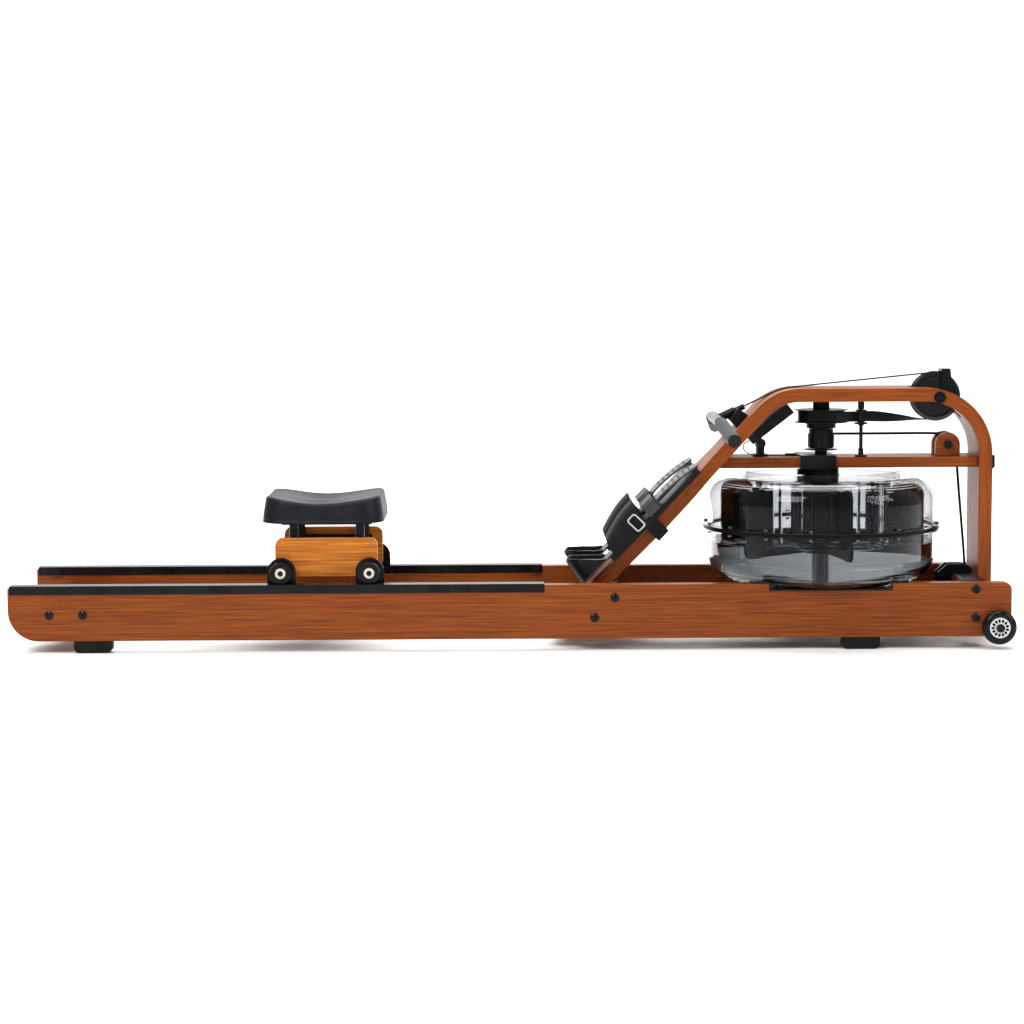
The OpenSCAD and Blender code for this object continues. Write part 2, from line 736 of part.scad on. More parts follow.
// From the drum over the recoil pulley, down to the lower pulley, and back under the tank.
cord_lift = cord_d / 2 + 0.3;
recoil_top = arc(recoil_c, recoil_groove + cord_lift, 96, 0, 8);
lower_round = arc(lower_c, lower_groove + cord_lift, 8, -90, 8);
cord_route = concat(
    [[672, 31.3, 436], [700, 27.5, 436.3], [760, 19, 436.8], [820, 11, 437.4], [880, 4, 438]],
    [for (q = recoil_top) [q[0], 0, q[1]]],
    [[955.5, 0, 395], [957, 0, 370], [962, 0, 310], [967.5, 0, 250], [973, 0, 190]],
    [for (q = lower_round) [q[0], 0, q[1]]],
    [[930, 0, 112.6], [880, 0, 112], [800, 0, 110], [700, 0, 108], [600, 0, 106],
     [500, 0, 104], [400, 0, 102], [300, 0, 100], [258, 0, 99]]);

module recoil_cord() {
    color("black") {
        cord(cord_route, cord_d / 2);
        translate([238, -9, 90]) cube([20, 18, 18]);
    }
}

// ---- handle ----

function mirrored(p, s) = [p[0], s * p[1], p[2]];
function along(a, b, t) = a + t * (b - a);

module handle_bar() {
    bar_r = 11;
    color("black") {
        rod(mirrored(grip_in, -1), grip_in, bar_r);
        for (s = sides) {
            translate(mirrored(grip_in, s)) sphere(r = bar_r + 0.4);
            rod(mirrored(grip_in, s), mirrored(along(grip_in, grip_out, 0.955), s), bar_r);
            rod(mirrored(along(grip_in, grip_out, 0.955), s), mirrored(grip_out, s), grip_r - 0.4);
        }
        rod([440, 0, 470], [480, 0, 488.6], 9.3);
        rod([480, 0, 488.6], [500.4, 0, 498], 6.5);
    }
}

module handle_grips() {
    color("gray") for (s = sides) difference() {
        rod(mirrored(along(grip_in, grip_out, 0.1), s), mirrored(along(grip_in, grip_out, 0.95), s), grip_r);
        rod(mirrored(grip_in, s), mirrored(grip_out, s), 11 + 0.1);
    }
}

// Two lugs on the leg that the handle's stem drops between.
module handle_rest() {
    color("black") difference() {
        plate_xz([[467, 470], [484.5, 496], [511, 476.5], [491, 457], [484, 450.5]], -32, 32);
        on_leg() translate([380, -12, 8]) cube([140, 24, 80]);
        // the leg's face
        plate_xz([kink, kink + [300 * cos(high_slope), 300 * sin(high_slope)],
                  kink + [300 * cos(high_slope) + 80, 300 * sin(high_slope) - 80],
                  kink + [80, -80]] + [for (i = [0:3]) [-tiny, tiny]], -60, 60);
    }
}

// ---- monitor ----

module at_monitor() {
    translate([monitor_pivot[0], 0, monitor_pivot[1]]) rotate([0, -monitor_tilt, 0]) children();
}

module monitor_case() {
    color("black") {
        at_monitor() difference() {
            plate_xz([[-15, 12], [95, 12], [95, 34], [60, 38], [30, 34], [-15, 28]], -46, 46);
            translate([-6, -36, 10]) cube([78, 72, 4]);
            for (y = [-17, 17]) translate([key_x, y, 0]) cylinder(r = key_r + 0.3, h = 17);
        }
        at_monitor() translate([-2, -34, 12.6]) cube([70, 68, 1.5]);
        difference() {
            union() {
                rod_y(monitor_pivot[0], monitor_pivot[1], 9, -9, 9);
                at_monitor() translate([-7, -8.5, 0]) cube([14, 17, 13]);
            }
            rod_y(monitor_pivot[0], monitor_pivot[1], 4 + fit, -20, 20);
        }
    }
}

module monitor_key(y) {
    color("gray") at_monitor() translate([key_x, y, 10.6]) cylinder(r = key_r, h = 5);
}

module monitor_key_right() { monitor_key(-17); }
module monitor_key_left() { monitor_key(17); }

// A clevis on the shelf, with the clamp knob through it.
module monitor_bracket() {
    x = monitor_pivot[0];
    z = monitor_pivot[1];
    color("black") {
        for (s = sides) {
            y0 = s > 0 ? 9.4 : -16;
            rod_y(x, z, 11, y0, y0 + 6.6);
            translate([x - 8, y0, shelf_top + 4]) cube([16, 6.6, z - shelf_top - 4]);
        }
        rod_y(x, z, 4, -24, 24);
        rod_y(x, z, 9.5, -28, -16.5);
        translate([x - 16, -20, shelf_top + tiny]) cube([32, 40, 4.5]);
    }
}

lead_route = [[508, -21, 424], [500, -24, 421], [496, -25, 412], [501, -24, 402], [512, -22, 396.5],
              [530, -22, 394], [560, -22, 393.6], [600, -22, 393.6], [614.5, -22, 393.6]];
module monitor_lead() {
    color("black") cord(smooth(lead_route, 4), 1.3);
}

// ---- foot plates ----

foot_s0 = 70;                   // where the fixed base starts, up the slope
foot_s1 = 332;

// One fixed base under both feet, with clamps round the leg's edges.
module foot_base() {
    half = foot_y + foot_w / 2;
    inner = foot_y - foot_w / 2;
    color("black") on_leg() {
        difference() {
            translate([foot_s0, -half, 0.4]) cube([foot_s1 - foot_s0, 2 * half, 11]);
            translate([foot_s0 - 1, tiny - inner, 4]) cube([400, 2 * inner - 2 * tiny, 20]);
        }
        for (s = sides) {
            y = leg_w / 2 + 0.4;
            translate([166, s > 0 ? y : -y - 8, -38]) cube([30, 8, 40]);
        }
        translate([166, -leg_w / 2 - 8, -39]) cube([30, leg_w + 16, 6]);
        // locking tabs that drop into the slots
        for (s = sides) translate([226, s * foot_y - 14, 18]) {
            cube([14, 28, 7]);
        }
        for (s = sides) for (d = [-1, 1])
            translate([226, s * foot_y + d * (foot_w / 2 - 3) - 2, 11]) cube([14, 4, 14]);
        for (s = sides) translate([226, s * foot_y - foot_w / 2 + 1, 22]) cube([14, foot_w - 2, 3]);
    }
}

// The sliding heel cup with its slotted sole, one for each foot.
module heel_slide(s) {
    y0 = s * foot_y - foot_w / 2 + 5.5;
    w = foot_w - 11;
    t = 4;
    color("gray") on_leg() {
        // sole, with pairs of slots for the size
        difference() {
            translate([0, y0, 12]) cube([345, w, t]);
            for (i = [0:5]) for (d = [-1, 1])
                translate([246 + 14 * i, s * foot_y + d * 20 - 9, 0]) cube([6, 18, 40]);
        }
        // the cup: a back wall and two side walls that taper to the sole
        translate([-14, y0, 12]) cube([t, w, 58]);
        translate([-14, y0, 12]) cube([16, w, t]);
        for (d = [0, w - t]) translate([0, y0 + d + t, 0]) rotate([90, 0, 0]) linear_extrude(t)
            polygon([[-12, 13], [74, 13], [74, 17], [-12, 70]]);
    }
}

module right_heel_slide() { heel_slide(-1); }
module left_heel_slide() { heel_slide(1); }

// A wide band over each instep.
strap_s0 = 84;
strap_s1 = 186;
module foot_straps() {
    w = foot_w / 2 + 3.5;
    outer = concat([[-w, 4.3]], [[w, 4.3]], arc([w - 26, 30], 26, 0, 90, 8), arc([26 - w, 30], 26, 90, 180, 8));
    inner = concat([[3 - w, -5]], [[w - 3, -5]], arc([w - 26, 30], 23, 0, 90, 8), arc([26 - w, 30], 23, 90, 180, 8));
    color("black") on_leg() for (s = sides)
        translate([strap_s0, s * foot_y, 0]) rotate([90, 0, 90]) linear_extrude(strap_s1 - strap_s0)
            difference() {
                polygon(outer);
                polygon(inner);
            }
}

module strap_buckles() {
    color("silver") on_leg() for (s = sides) {
        y = s * (foot_y + foot_w / 2 + 3.7);
        translate([150, s > 0 ? y + 2.6 : y, 8]) rotate([90, 0, 0]) linear_extrude(2.6) difference() {
            polygon(soft_box([0, 0], [24, 36], 6));
            polygon(soft_box([3, 3], [21, 33], 4));
        }
    }
}

// ---- transport wheels ----

module transport_wheel(s) {
    y = s > 0 ? roller_y0 : -roller_y0 - roller_w;
    color("black") difference() {
        translate([roller_c[0], y + roller_w, roller_c[1]]) rotate([90, 0, 0]) rotate_extrude($fn = 96)
            polygon(concat([[bolt_r + fit, 0]], [[22, 0]], arc([roller_r - 10, 10], 10, 270, 360, 6),
                           arc([roller_r - 10, roller_w - 10], 10, 0, 90, 6), [[22, roller_w], [bolt_r + fit, roller_w]]));
        for (a = [0:30:330])
            rod_y(roller_c[0] + 14.5 * cos(a), roller_c[1] + 14.5 * sin(a), 2.2, -300, 300);
    }
}

module right_transport_wheel() { transport_wheel(-1); }
module left_transport_wheel() { transport_wheel(1); }

// ---- seat ----

module seat_pad() {
    a = [pad_x - pad_length / 2, -pad_w / 2];
    dish_r = 470;
    color("dimgray") difference() {
        translate([0, 0, pad_z]) linear_extrude(59) polygon(soft_box(a, a + [pad_length, pad_w], 55, 10));
        rod_y(pad_x, 305 + dish_r, dish_r, -300, 300, $fn = 120);
    }
}

// Steel plate, four posts, four axles, and a guard inside each wheel.
module seat_chassis() {
    color("black") {
        translate([carriage_x - 95, -104, pad_z - 4.2]) cube([190, 208, 4]);
        for (dx = [-70, 70]) for (s = sides) {
            translate([carriage_x + dx, s * 96.5, 176]) cylinder(r = 9.5, h = pad_z - 4 - 176);
        }
        for (s = sides) translate([carriage_x - 85, s > 0 ? 104 : -106.8, 176]) cube([170, 2.8, 40]);
        for (dx = [-seat_wheelbase / 2, seat_wheelbase / 2]) for (s = sides) {
            x = carriage_x + dx;
            y1 = wheel_y + wheel_w / 2;
            rod_y(x, wheel_z, seat_axle_r, s > 0 ? 100 : -y1 - 0.6, s > 0 ? y1 + 0.6 : -100);
            rod_y(x, wheel_z, 8, s > 0 ? 127.2 : -wheel_y + wheel_w / 2 + 0.6, s > 0 ? wheel_y - wheel_w / 2 - 0.6 : -127.2);
            rod_y(x, wheel_z, 5.2, s > 0 ? y1 + 0.4 : -y1 - 1.6, s > 0 ? y1 + 1.6 : -y1 - 0.4);
            plate_xz(concat([[x - 30, 133], [x + 30, 133]], arc([x, wheel_z], 30, 0, 180, 16)),
                     s > 0 ? 149.5 : -152.5, s > 0 ? 152.5 : -149.5);
        }
    }
}

module carriage_boards() {
    lo = [carriage_x - 107.5, 151.5];
    hi = [carriage_x + 107.5, 232];
    outline = concat(arc([hi[0] - 16, hi[1] - 16], 16, 0, 90, 6), arc([lo[0] + 16, hi[1] - 16], 16, 90, 180, 6),
                     arc([lo[0] + 4, lo[1] + 4], 4, 180, 270, 3), arc([hi[0] - 4, lo[1] + 4], 4, 270, 360, 3));
    color("peru") for (s = sides) difference() {
        plate_xz(outline, s > 0 ? board_y - board_t / 2 : -board_y - board_t / 2,
                 s > 0 ? board_y + board_t / 2 : -board_y + board_t / 2);
        for (dx = [-seat_wheelbase / 2, seat_wheelbase / 2])
            rod_y(carriage_x + dx, wheel_z, seat_axle_r + tiny, -200, 200);
    }
}

module seat_wheel(dx, s) {
    w = wheel_w / 2;
    r = seat_wheel_r;
    bore = seat_axle_r + fit;
    color("black") translate([carriage_x + dx, s * wheel_y, wheel_z]) rotate([90, 0, 0])
        rotate_extrude($fn = 96) polygon([
            [bore, -w], [10.3, -w], [10.3, 1 - w], [14, 1 - w], [14, 1.8 - w], [r - 5, 1.8 - w],
            [r - 4, -w], [r - 2, -w], [r, 2 - w], [r, w - 2], [r - 2, w], [r - 4, w],
            [r - 5, w - 1.8], [14, w - 1.8], [14, w - 1], [10.3, w - 1], [10.3, w], [bore, w]]);
}

module seat_wheel_rear_right() { seat_wheel(-seat_wheelbase / 2, -1); }
module seat_wheel_rear_left() { seat_wheel(-seat_wheelbase / 2, 1); }
module seat_wheel_front_right() { seat_wheel(seat_wheelbase / 2, -1); }
module seat_wheel_front_left() { seat_wheel(seat_wheelbase / 2, 1); }

right_rail();
left_rail();
right_track();
left_track();
rear_crossmember();
middle_crossmember();
front_crossmember();
arch();
shelf();
feet();
frame_fasteners();
seat_stops();
tank_saddles();
front_bumper();
tank_lower_shell();
tank_upper_shell();
tank_gasket();
tank_bolts();
water();
inner_reservoir();
level_dial();
main_shaft();
impeller();
shaft_bearings();
drive_spool();
recoil_drum();
idler_post();
idler_roller();
top_pulley();
pulley_axles();
belt_keeper();
drive_belt();
pull_belt();
pulley_cheeks();
recoil_pulley();
recoil_cord();
lower_pulley_housing();
lower_pulley();
handle_bar();
handle_grips();
handle_rest();
monitor_case();
monitor_key_left();
monitor_key_right();
monitor_bracket();
monitor_lead();
foot_base();
right_heel_slide();
left_heel_slide();
foot_straps();
strap_buckles();
right_transport_wheel();
left_transport_wheel();
seat_pad();
seat_chassis();
carriage_boards();
seat_wheel_rear_right();
seat_wheel_rear_left();
seat_wheel_front_right();
seat_wheel_front_left();
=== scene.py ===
import bmesh
import bpy
import math
import numpy as np
from mathutils import Matrix, Vector


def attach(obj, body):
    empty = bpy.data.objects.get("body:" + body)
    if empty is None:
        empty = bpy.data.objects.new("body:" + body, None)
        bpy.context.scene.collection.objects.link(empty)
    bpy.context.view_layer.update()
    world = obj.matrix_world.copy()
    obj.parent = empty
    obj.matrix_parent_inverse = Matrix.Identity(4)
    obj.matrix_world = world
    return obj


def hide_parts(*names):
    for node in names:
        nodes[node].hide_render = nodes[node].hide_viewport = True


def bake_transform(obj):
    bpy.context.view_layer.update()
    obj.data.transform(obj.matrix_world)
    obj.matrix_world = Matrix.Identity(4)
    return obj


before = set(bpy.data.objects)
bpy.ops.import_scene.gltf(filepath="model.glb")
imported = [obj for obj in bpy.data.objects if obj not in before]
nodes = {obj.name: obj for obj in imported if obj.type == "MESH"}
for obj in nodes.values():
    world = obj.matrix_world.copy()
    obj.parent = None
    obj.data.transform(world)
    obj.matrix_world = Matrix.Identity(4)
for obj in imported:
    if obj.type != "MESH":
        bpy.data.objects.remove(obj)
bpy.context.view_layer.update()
collection = bpy.context.scene.collection
print("frame loaded:", len(nodes), "CAD nodes")

# Camera, lights and backdrop.

stageSettings = {
    "cameraPlace": (-0.0071, -5.6093, 0.8081),
    "yaw": 0.0016, "pitchDown": 0.0951, "roll": -0.0053,
    "lens": 92.19,
    "floorTone": (0.9, 0.9, 0.89),
    "worldTone": (0.97, 0.98, 1.0), "worldPower": 0.38,
    "floorNear": -9.0, "floorFar": 3.5, "curve": 3.0, "floorHalf": 12.0, "wallTop": 9.0,
}


# The view direction comes from yaw and pitch, and the roll turns the picture about it.
def makeCamera(s):
    yaw, pitch, roll = s["yaw"], s["pitchDown"], s["roll"]
    forward = Vector((math.sin(yaw) * math.cos(pitch), math.cos(yaw) * math.cos(pitch), -math.sin(pitch)))
    right = Vector((math.cos(yaw), -math.sin(yaw), 0))
    up = right.cross(forward)
    right2 = math.cos(roll) * right + math.sin(roll) * up
    up2 = -math.sin(roll) * right + math.cos(roll) * up
    data = bpy.data.cameras.new("camera")
    data.lens, data.sensor_width = s["lens"], 36
    data.clip_end = 50
    camera = bpy.data.objects.new("camera", data)
    rows = [(right2[k], up2[k], -forward[k], s["cameraPlace"][k]) for k in range(3)]
    camera.matrix_world = Matrix(rows + [(0, 0, 0, 1)])
    collection.objects.link(camera)
    bpy.context.scene.camera = camera


# A square lamp at a place, turned to face a target point.
def makeLamp(name, spot, target, side, watts, tone):
    data = bpy.data.lights.new(name, "AREA")
    data.shape, data.size, data.energy, data.color = "SQUARE", side, watts, tone
    lamp = bpy.data.objects.new(name, data)
    lamp.location = spot
    lamp.rotation_euler = (Vector(target) - Vector(spot)).to_track_quat("-Z", "Y").to_euler()
    collection.objects.link(lamp)


makeCamera(stageSettings)
lampSettings = {   # place, target, side, watts and tone
    "keyLamp": ((-1.6, -2.6, 3.2), (0, 0, 0.2), 2.0, 150, (1, 0.985, 0.965)),
    "topLamp": ((0.5, 0.8, 3.4), (0.2, 0, 0.2), 2.6, 130, (1, 1, 1)),
    "sideLamp": ((3.2, -1.6, 1.8), (0.5, 0, 0.3), 1.6, 55, (0.96, 0.98, 1)),
    "wallLamp": ((0, 2.2, 4.6), (0, 6.2, 1.6), 4.0, 330, (1, 1, 1)),
}
for name, values in lampSettings.items():
    makeLamp(name, *values)

world = bpy.data.worlds.new("studio")
world.use_nodes = True
background = world.node_tree.nodes["Background"]
background.inputs["Color"].default_value = (*stageSettings["worldTone"], 1)
background.inputs["Strength"].default_value = stageSettings["worldPower"]
bpy.context.scene.world = world
bpy.context.scene.view_settings.view_transform = "Standard"   # plain studio colours
print("camera and lights set")

# Material tools.

finish = {}


# A new material, kept in finish under its name. Fixed shader values are named as in the panel, without spaces.
def startMaterial(name, shine=0.5, **fixed):
    finish[name] = bpy.data.materials.new(name)
    finish[name].use_nodes = True
    tree = finish[name].node_tree
    shader = tree.nodes["Principled BSDF"]
    shader.inputs["Specular IOR Level"].default_value = shine
    for key, value in fixed.items():
        label = key[0].upper() + "".join(" " + c if c.isupper() else c for c in key[1:])
        shader.inputs[label].default_value = (*value, 1) if isinstance(value, tuple) else value
    return tree, shader


# One node with its input values set, and links made from other nodes' outputs.
def put(tree, kind, settings=None, **inputs):
    made = tree.nodes.new("ShaderNode" + kind)
    for key, value in (settings or {}).items():
        setattr(made, key, value)
    for key, value in inputs.items():
        socket = made.inputs[int(key[1:])] if key[0] == "i" and key[1:].isdigit() else made.inputs[key]
        if isinstance(value, bpy.types.NodeSocket):
            tree.links.new(value, socket)
        else:
            socket.default_value = value
    return made


# Coordinates of a piece: its Object coordinates, its UV map or a named attribute, stretched by scale.
def placeOf(tree, source, scale=(1, 1, 1), shift=(0, 0, 0)):
    if source in ("Object", "UV"):
        out = put(tree, "TexCoord").outputs[source]
    else:
        out = put(tree, "Attribute", {"attribute_name": source}).outputs["Vector"]
    return put(tree, "Mapping", None, Vector=out, Scale=scale, Location=shift).outputs["Vector"]


# Noise between 0 and 1 at the given coordinates.
def noiseAt(tree, spot, scale, detail=3.0, roughness=0.55):
    return put(tree, "TexNoise", None, Vector=spot, Scale=scale, Detail=detail, Roughness=roughness).outputs["Fac"]


# A ramp from value to colour, given as (position, colour) stops.
def rampOf(tree, value, stops):
    made = put(tree, "ValToRGB", None, Fac=value)
    ramp = made.color_ramp
    while len(ramp.elements) < len(stops):
        ramp.elements.new(0.5)
    for element, (position, colour) in zip(ramp.elements, stops):
        element.position = position
        element.color = (*colour, 1) if isinstance(colour, tuple) else (colour, colour, colour, 1)
    return made.outputs["Color"]


# Two colours mixed by an amount, or combined by another blend.
def mixColour(tree, amount, a, b, kind="MIX"):
    made = put(tree, "Mix", {"data_type": "RGBA", "blend_type": kind}, i0=amount)
    for slot, value in ((6, a), (7, b)):
        if isinstance(value, bpy.types.NodeSocket):
            tree.links.new(value, made.inputs[slot])
        else:
            made.inputs[slot].default_value = (*value, 1)
    return made.outputs[2]


# One arithmetic step on two values.
def mathOf(tree, operation, a, b=0.0):
    return put(tree, "Math", {"operation": operation}, i0=a, i1=b).outputs[0]


# One value times another.
def times(tree, a, b):
    return mathOf(tree, "MULTIPLY", a, b)


# A height turned into small surface tilts; distance is its depth in metres.
def bumpFrom(tree, shader, height, distance, strength=0.6):
    made = put(tree, "Bump", None, Height=height, Distance=distance, Strength=strength)
    tree.links.new(made.outputs["Normal"], shader.inputs["Normal"])


# Joins a value to a named input of the shader.
def link(tree, value, shader, name):
    tree.links.new(value, shader.inputs[name])


# A colour made lighter or darker by one factor.
def toned(tone, factor):
    return tuple(c * factor for c in tone)


# Oiled timber: growth bands that run with the grain, fine fibres, dark open pores and a patchy satin.
def makeWood(name, tones, source="Object", along=0, bandScale=48.0, seed=0.0):
    tree, shader = startMaterial(name, 0.16)
    slow, fast = [1.0, 1.0, 1.0], [420.0, 420.0, 420.0]
    slow[along], fast[along] = 0.09, 9.0
    shift = (seed, seed * 1.7, seed * 0.6)
    broad, fine = placeOf(tree, source, slow, shift), placeOf(tree, source, fast, shift)
    fibre = placeOf(tree, source, toned(fast, 0.28), shift)
    streakScale = [430.0, 430.0, 430.0]
    streakScale[along] = 8.0
    streak = noiseAt(tree, placeOf(tree, source, streakScale, shift), 1.0, 7.0, 0.62)
    wander = noiseAt(tree, broad, 9.0, 3.0)
    wave = put(tree, "TexWave", {"wave_type": "BANDS", "bands_direction": "Z"}, Vector=broad,
               Scale=bandScale, Distortion=11.0, Detail=2.0, **{"Detail Scale": 0.55}).outputs["Fac"]
    colour = rampOf(tree, streak, [(0.34, tones[0]), (0.48, tones[1]), (0.66, tones[2])])
    rings = rampOf(tree, wave, [(0.0, 1.0), (0.13, 0.0)])
    rings = times(tree, rings, times(tree, wander, 0.95))
    colour = mixColour(tree, rings, colour, tones[0])
    fibres = noiseAt(tree, fibre, 1.0, 4.0, 0.7)
    colour = mixColour(tree, times(tree, fibres, 0.6), colour, tones[3], "MULTIPLY")
    broadTone = noiseAt(tree, broad, 3.5, 2.0)
    colour = mixColour(tree, times(tree, broadTone, 0.35), colour, tones[0])
    pores = rampOf(tree, noiseAt(tree, fine, 1.0, 2.0), [(0.3, 1.0), (0.42, 0.0)])
    colour = mixColour(tree, times(tree, pores, 0.55), colour, tones[4])
    link(tree, colour, shader, "Base Color")
    rough = rampOf(tree, fibres, [(0.3, 0.34), (0.75, 0.52)])
    link(tree, rough, shader, "Roughness")
    height = mathOf(tree, "SUBTRACT", times(tree, fibres, 0.5), pores)
    bumpFrom(tree, shader, height, 0.00025, 0.7)


# Moulded plastic, rubber or paint: a base tone with faint clouds, a fine pebble bump and worn roughness.
def makeMoulded(name, tone, rough=0.45, pebble=1400.0, depth=0.00008, clouds=0.18, dust=None, shine=0.16):
    tree, shader = startMaterial(name, shine)
    spot = placeOf(tree, "Object")
    cloud = noiseAt(tree, spot, 22.0, 5.0)
    lighter = tuple(min(1.0, c * (1 + clouds) + 0.006) for c in tone)
    darker = toned(tone, 1 - clouds)
    colour = rampOf(tree, cloud, [(0.3, darker), (0.7, lighter)])
    if dust:
        specks = rampOf(tree, noiseAt(tree, spot, 260.0, 4.0, 0.8), [(0.62, 0.0), (0.72, 0.35)])
        colour = mixColour(tree, specks, colour, dust)
    link(tree, colour, shader, "Base Color")
    scuffs = noiseAt(tree, placeOf(tree, "Object", (3.0, 20.0, 9.0)), 30.0, 6.0, 0.7)
    link(tree, rampOf(tree, scuffs, [(0.35, rough - 0.06), (0.7, rough + 0.1)]), shader, "Roughness")
    bumpFrom(tree, shader, noiseAt(tree, spot, pebble, 2.0), depth, 0.6)


# Bare metal with fine lines along one direction and slight tarnish.
def makeMetal(name, tone, rough=0.28, lines=(40.0, 900.0, 900.0)):
    tree, shader = startMaterial(name, metallic=1.0)
    line = noiseAt(tree, placeOf(tree, "Object", lines), 1.0, 3.0)
    cloud = noiseAt(tree, placeOf(tree, "Object"), 60.0, 4.0)
    darker = toned(tone, 0.78)
    link(tree, rampOf(tree, cloud, [(0.3, darker), (0.65, tone)]), shader, "Base Color")
    link(tree, rampOf(tree, line, [(0.3, rough - 0.08), (0.7, rough + 0.12)]), shader, "Roughness")
    bumpFrom(tree, shader, line, 0.00003, 0.5)


# Woven webbing on the piece's UV map, in metres: crossed ribs, and darker stitching near both edges.
def makeWebbing(name, tone, pitch, halfWidth, rough=0.75):
    tree, shader = startMaterial(name, 0.15, sheenWeight=0.08, sheenRoughness=0.5, roughness=rough)
    turns = 2 * math.pi / pitch
    uv = put(tree, "SeparateXYZ", None, Vector=put(tree, "TexCoord").outputs["UV"])
    u, v = uv.outputs[0], uv.outputs[1]
    a = mathOf(tree, "SINE", times(tree, mathOf(tree, "ADD", u, v), turns))
    b = mathOf(tree, "SINE", times(tree, mathOf(tree, "SUBTRACT", u, v), turns))
    weave = times(tree, a, b)
    level = mathOf(tree, "ADD", times(tree, weave, 0.5), 0.5)
    colour = rampOf(tree, level, [(0.1, toned(tone, 0.45)), (0.8, tone)])
    fuzz = noiseAt(tree, placeOf(tree, "Object"), 900.0, 3.0)
    colour = mixColour(tree, times(tree, fuzz, 0.3), colour, toned(tone, 1.6))
    edge = mathOf(tree, "GREATER_THAN", mathOf(tree, "ABSOLUTE", v), halfWidth * 0.86)
    colour = mixColour(tree, times(tree, edge, 0.5), colour, toned(tone, 0.4))
    link(tree, colour, shader, "Base Color")
    bumpFrom(tree, shader, mathOf(tree, "ADD", level, times(tree, fuzz, 0.4)), 0.0004, 0.8)


# Clear moulding: light passes through, with faint flow marks in the surface.
def makeClear(name, tone, rough, ior, ripple=0.0004, rippleScale=14.0):
    tree, shader = startMaterial(name, transmissionWeight=1.0, baseColor=tone, specularTint=(0.22, 0.22, 0.23))
    shader.inputs["IOR"].default_value = ior
    spot = placeOf(tree, "Object")
    smear = noiseAt(tree, spot, 18.0, 5.0)
    link(tree, rampOf(tree, smear, [(0.35, rough), (0.75, rough + 0.05)]), shader, "Roughness")
    bumpFrom(tree, shader, noiseAt(tree, spot, rippleScale, 2.0), ripple, 0.5)


# Closed-cell foam: many small cells in the skin, with light and dark flecks.
def makeFoam(name, tone, cells=520.0, rough=0.8):
    tree, shader = startMaterial(name, 0.2, sheenWeight=0.1)
    spot = placeOf(tree, "Object")
    cell = put(tree, "TexVoronoi", None, Vector=spot, Scale=cells).outputs["Distance"]
    fleck = noiseAt(tree, spot, 160.0, 5.0, 0.7)
    colour = rampOf(tree, fleck, [(0.35, toned(tone, 0.72)), (0.65, tone)])
    colour = mixColour(tree, times(tree, cell, 0.5), colour, toned(tone, 0.5))
    link(tree, colour, shader, "Base Color")
    link(tree, rampOf(tree, fleck, [(0.3, rough - 0.1), (0.7, rough + 0.08)]), shader, "Roughness")
    bumpFrom(tree, shader, cell, 0.0003, 0.6)


timberTones = [   # dark, middle and light streaks, then fibres and pores
    (0.125, 0.025, 0.0036), (0.225, 0.05, 0.006), (0.31, 0.08, 0.0096), (0.66, 0.55, 0.44), (0.045, 0.01, 0.003)]
goldTones = [
    (0.26, 0.066, 0.008), (0.56, 0.185, 0.02), (0.76, 0.3, 0.04), (0.74, 0.62, 0.5), (0.13, 0.036, 0.008)]
archLift = 1.12   # the bent board is a little lighter than the rails
makeWood("railWood", timberTones)
makeWood("archWood", [toned(tone, archLift) for tone in timberTones], "grain", 0, 44.0, 3.0)
makeWood("crossWood", timberTones, "Object", 1, 48.0, 5.0)
makeWood("boardWood", goldTones, "Object", 0, 40.0, 8.0)
makeMoulded("blackPlastic", (0.0032, 0.0032, 0.0038), 0.33, dust=(0.05, 0.05, 0.05), shine=0.13)
makeMoulded("deepBlack", (0.0018, 0.0018, 0.002), 0.32, shine=0.09)
makeMoulded("glossBlack", (0.004, 0.0042, 0.0055), 0.16, 300.0, 0.00003, 0.15, shine=0.42)
makeMoulded("greyPlastic", (0.03, 0.03, 0.033), 0.36, 900.0, 0.0001, 0.12, shine=0.3)
# the grey of the painted highlight along the heel cup lips
makeMoulded("rimHighlightGrey", (0.24, 0.24, 0.25), 0.35, 900.0, 0.00005, 0.1, shine=0.5)
makeMoulded("creamPlastic", (0.66, 0.6, 0.48), 0.4, 900.0, 0.00005, 0.1)
makeMoulded("blackPaint", (0.0028, 0.0028, 0.0034), 0.26, 2600.0, 0.00004, 0.15, shine=0.14)
makeMoulded("trackBlack", (0.003, 0.0028, 0.0036), 0.27, 1800.0, 0.000008, 0.15, shine=0.12)
makeMoulded("rubber", (0.0035, 0.0035, 0.0035), 0.6, 700.0, 0.00015, 0.25, (0.06, 0.055, 0.05), 0.1)
makeMoulded("urethane", (0.0022, 0.0022, 0.0026), 0.18, 500.0, 0.00003, 0.2, shine=0.14)
makeMoulded("seatSkin", (0.0052, 0.0054, 0.0088), 0.42, 620.0, 0.00022, 0.16, (0.09, 0.09, 0.09), 0.12)
makeFoam("gripFoam", (0.066, 0.069, 0.077))
makeMetal("zinc", (0.66, 0.66, 0.67))
makeMetal("darkSteel", (0.16, 0.16, 0.17), 0.3)
makeClear("clearShell", (0.74, 0.75, 0.765), 0.012, 1.45)
makeClear("smokeShell", (0.9, 0.905, 0.91), 0.012, 1.24)
makeClear("clearWater", (0.235, 0.25, 0.26), 0.01, 1.33, 0.0012, 9.0)
makeWebbing("drivingBelt", (0.008, 0.008, 0.009), 0.0028, 0.01125)
makeWebbing("footWebbing", (0.0055, 0.0055, 0.0062), 0.0034, 0.075)
makeWebbing("braid", (0.01, 0.01, 0.011), 0.0022, 1.0)
print("materials made:", len(finish))

# Mesh tools.

sideWord = {-1: "Right", 1: "Left"}   # the right side is at negative y


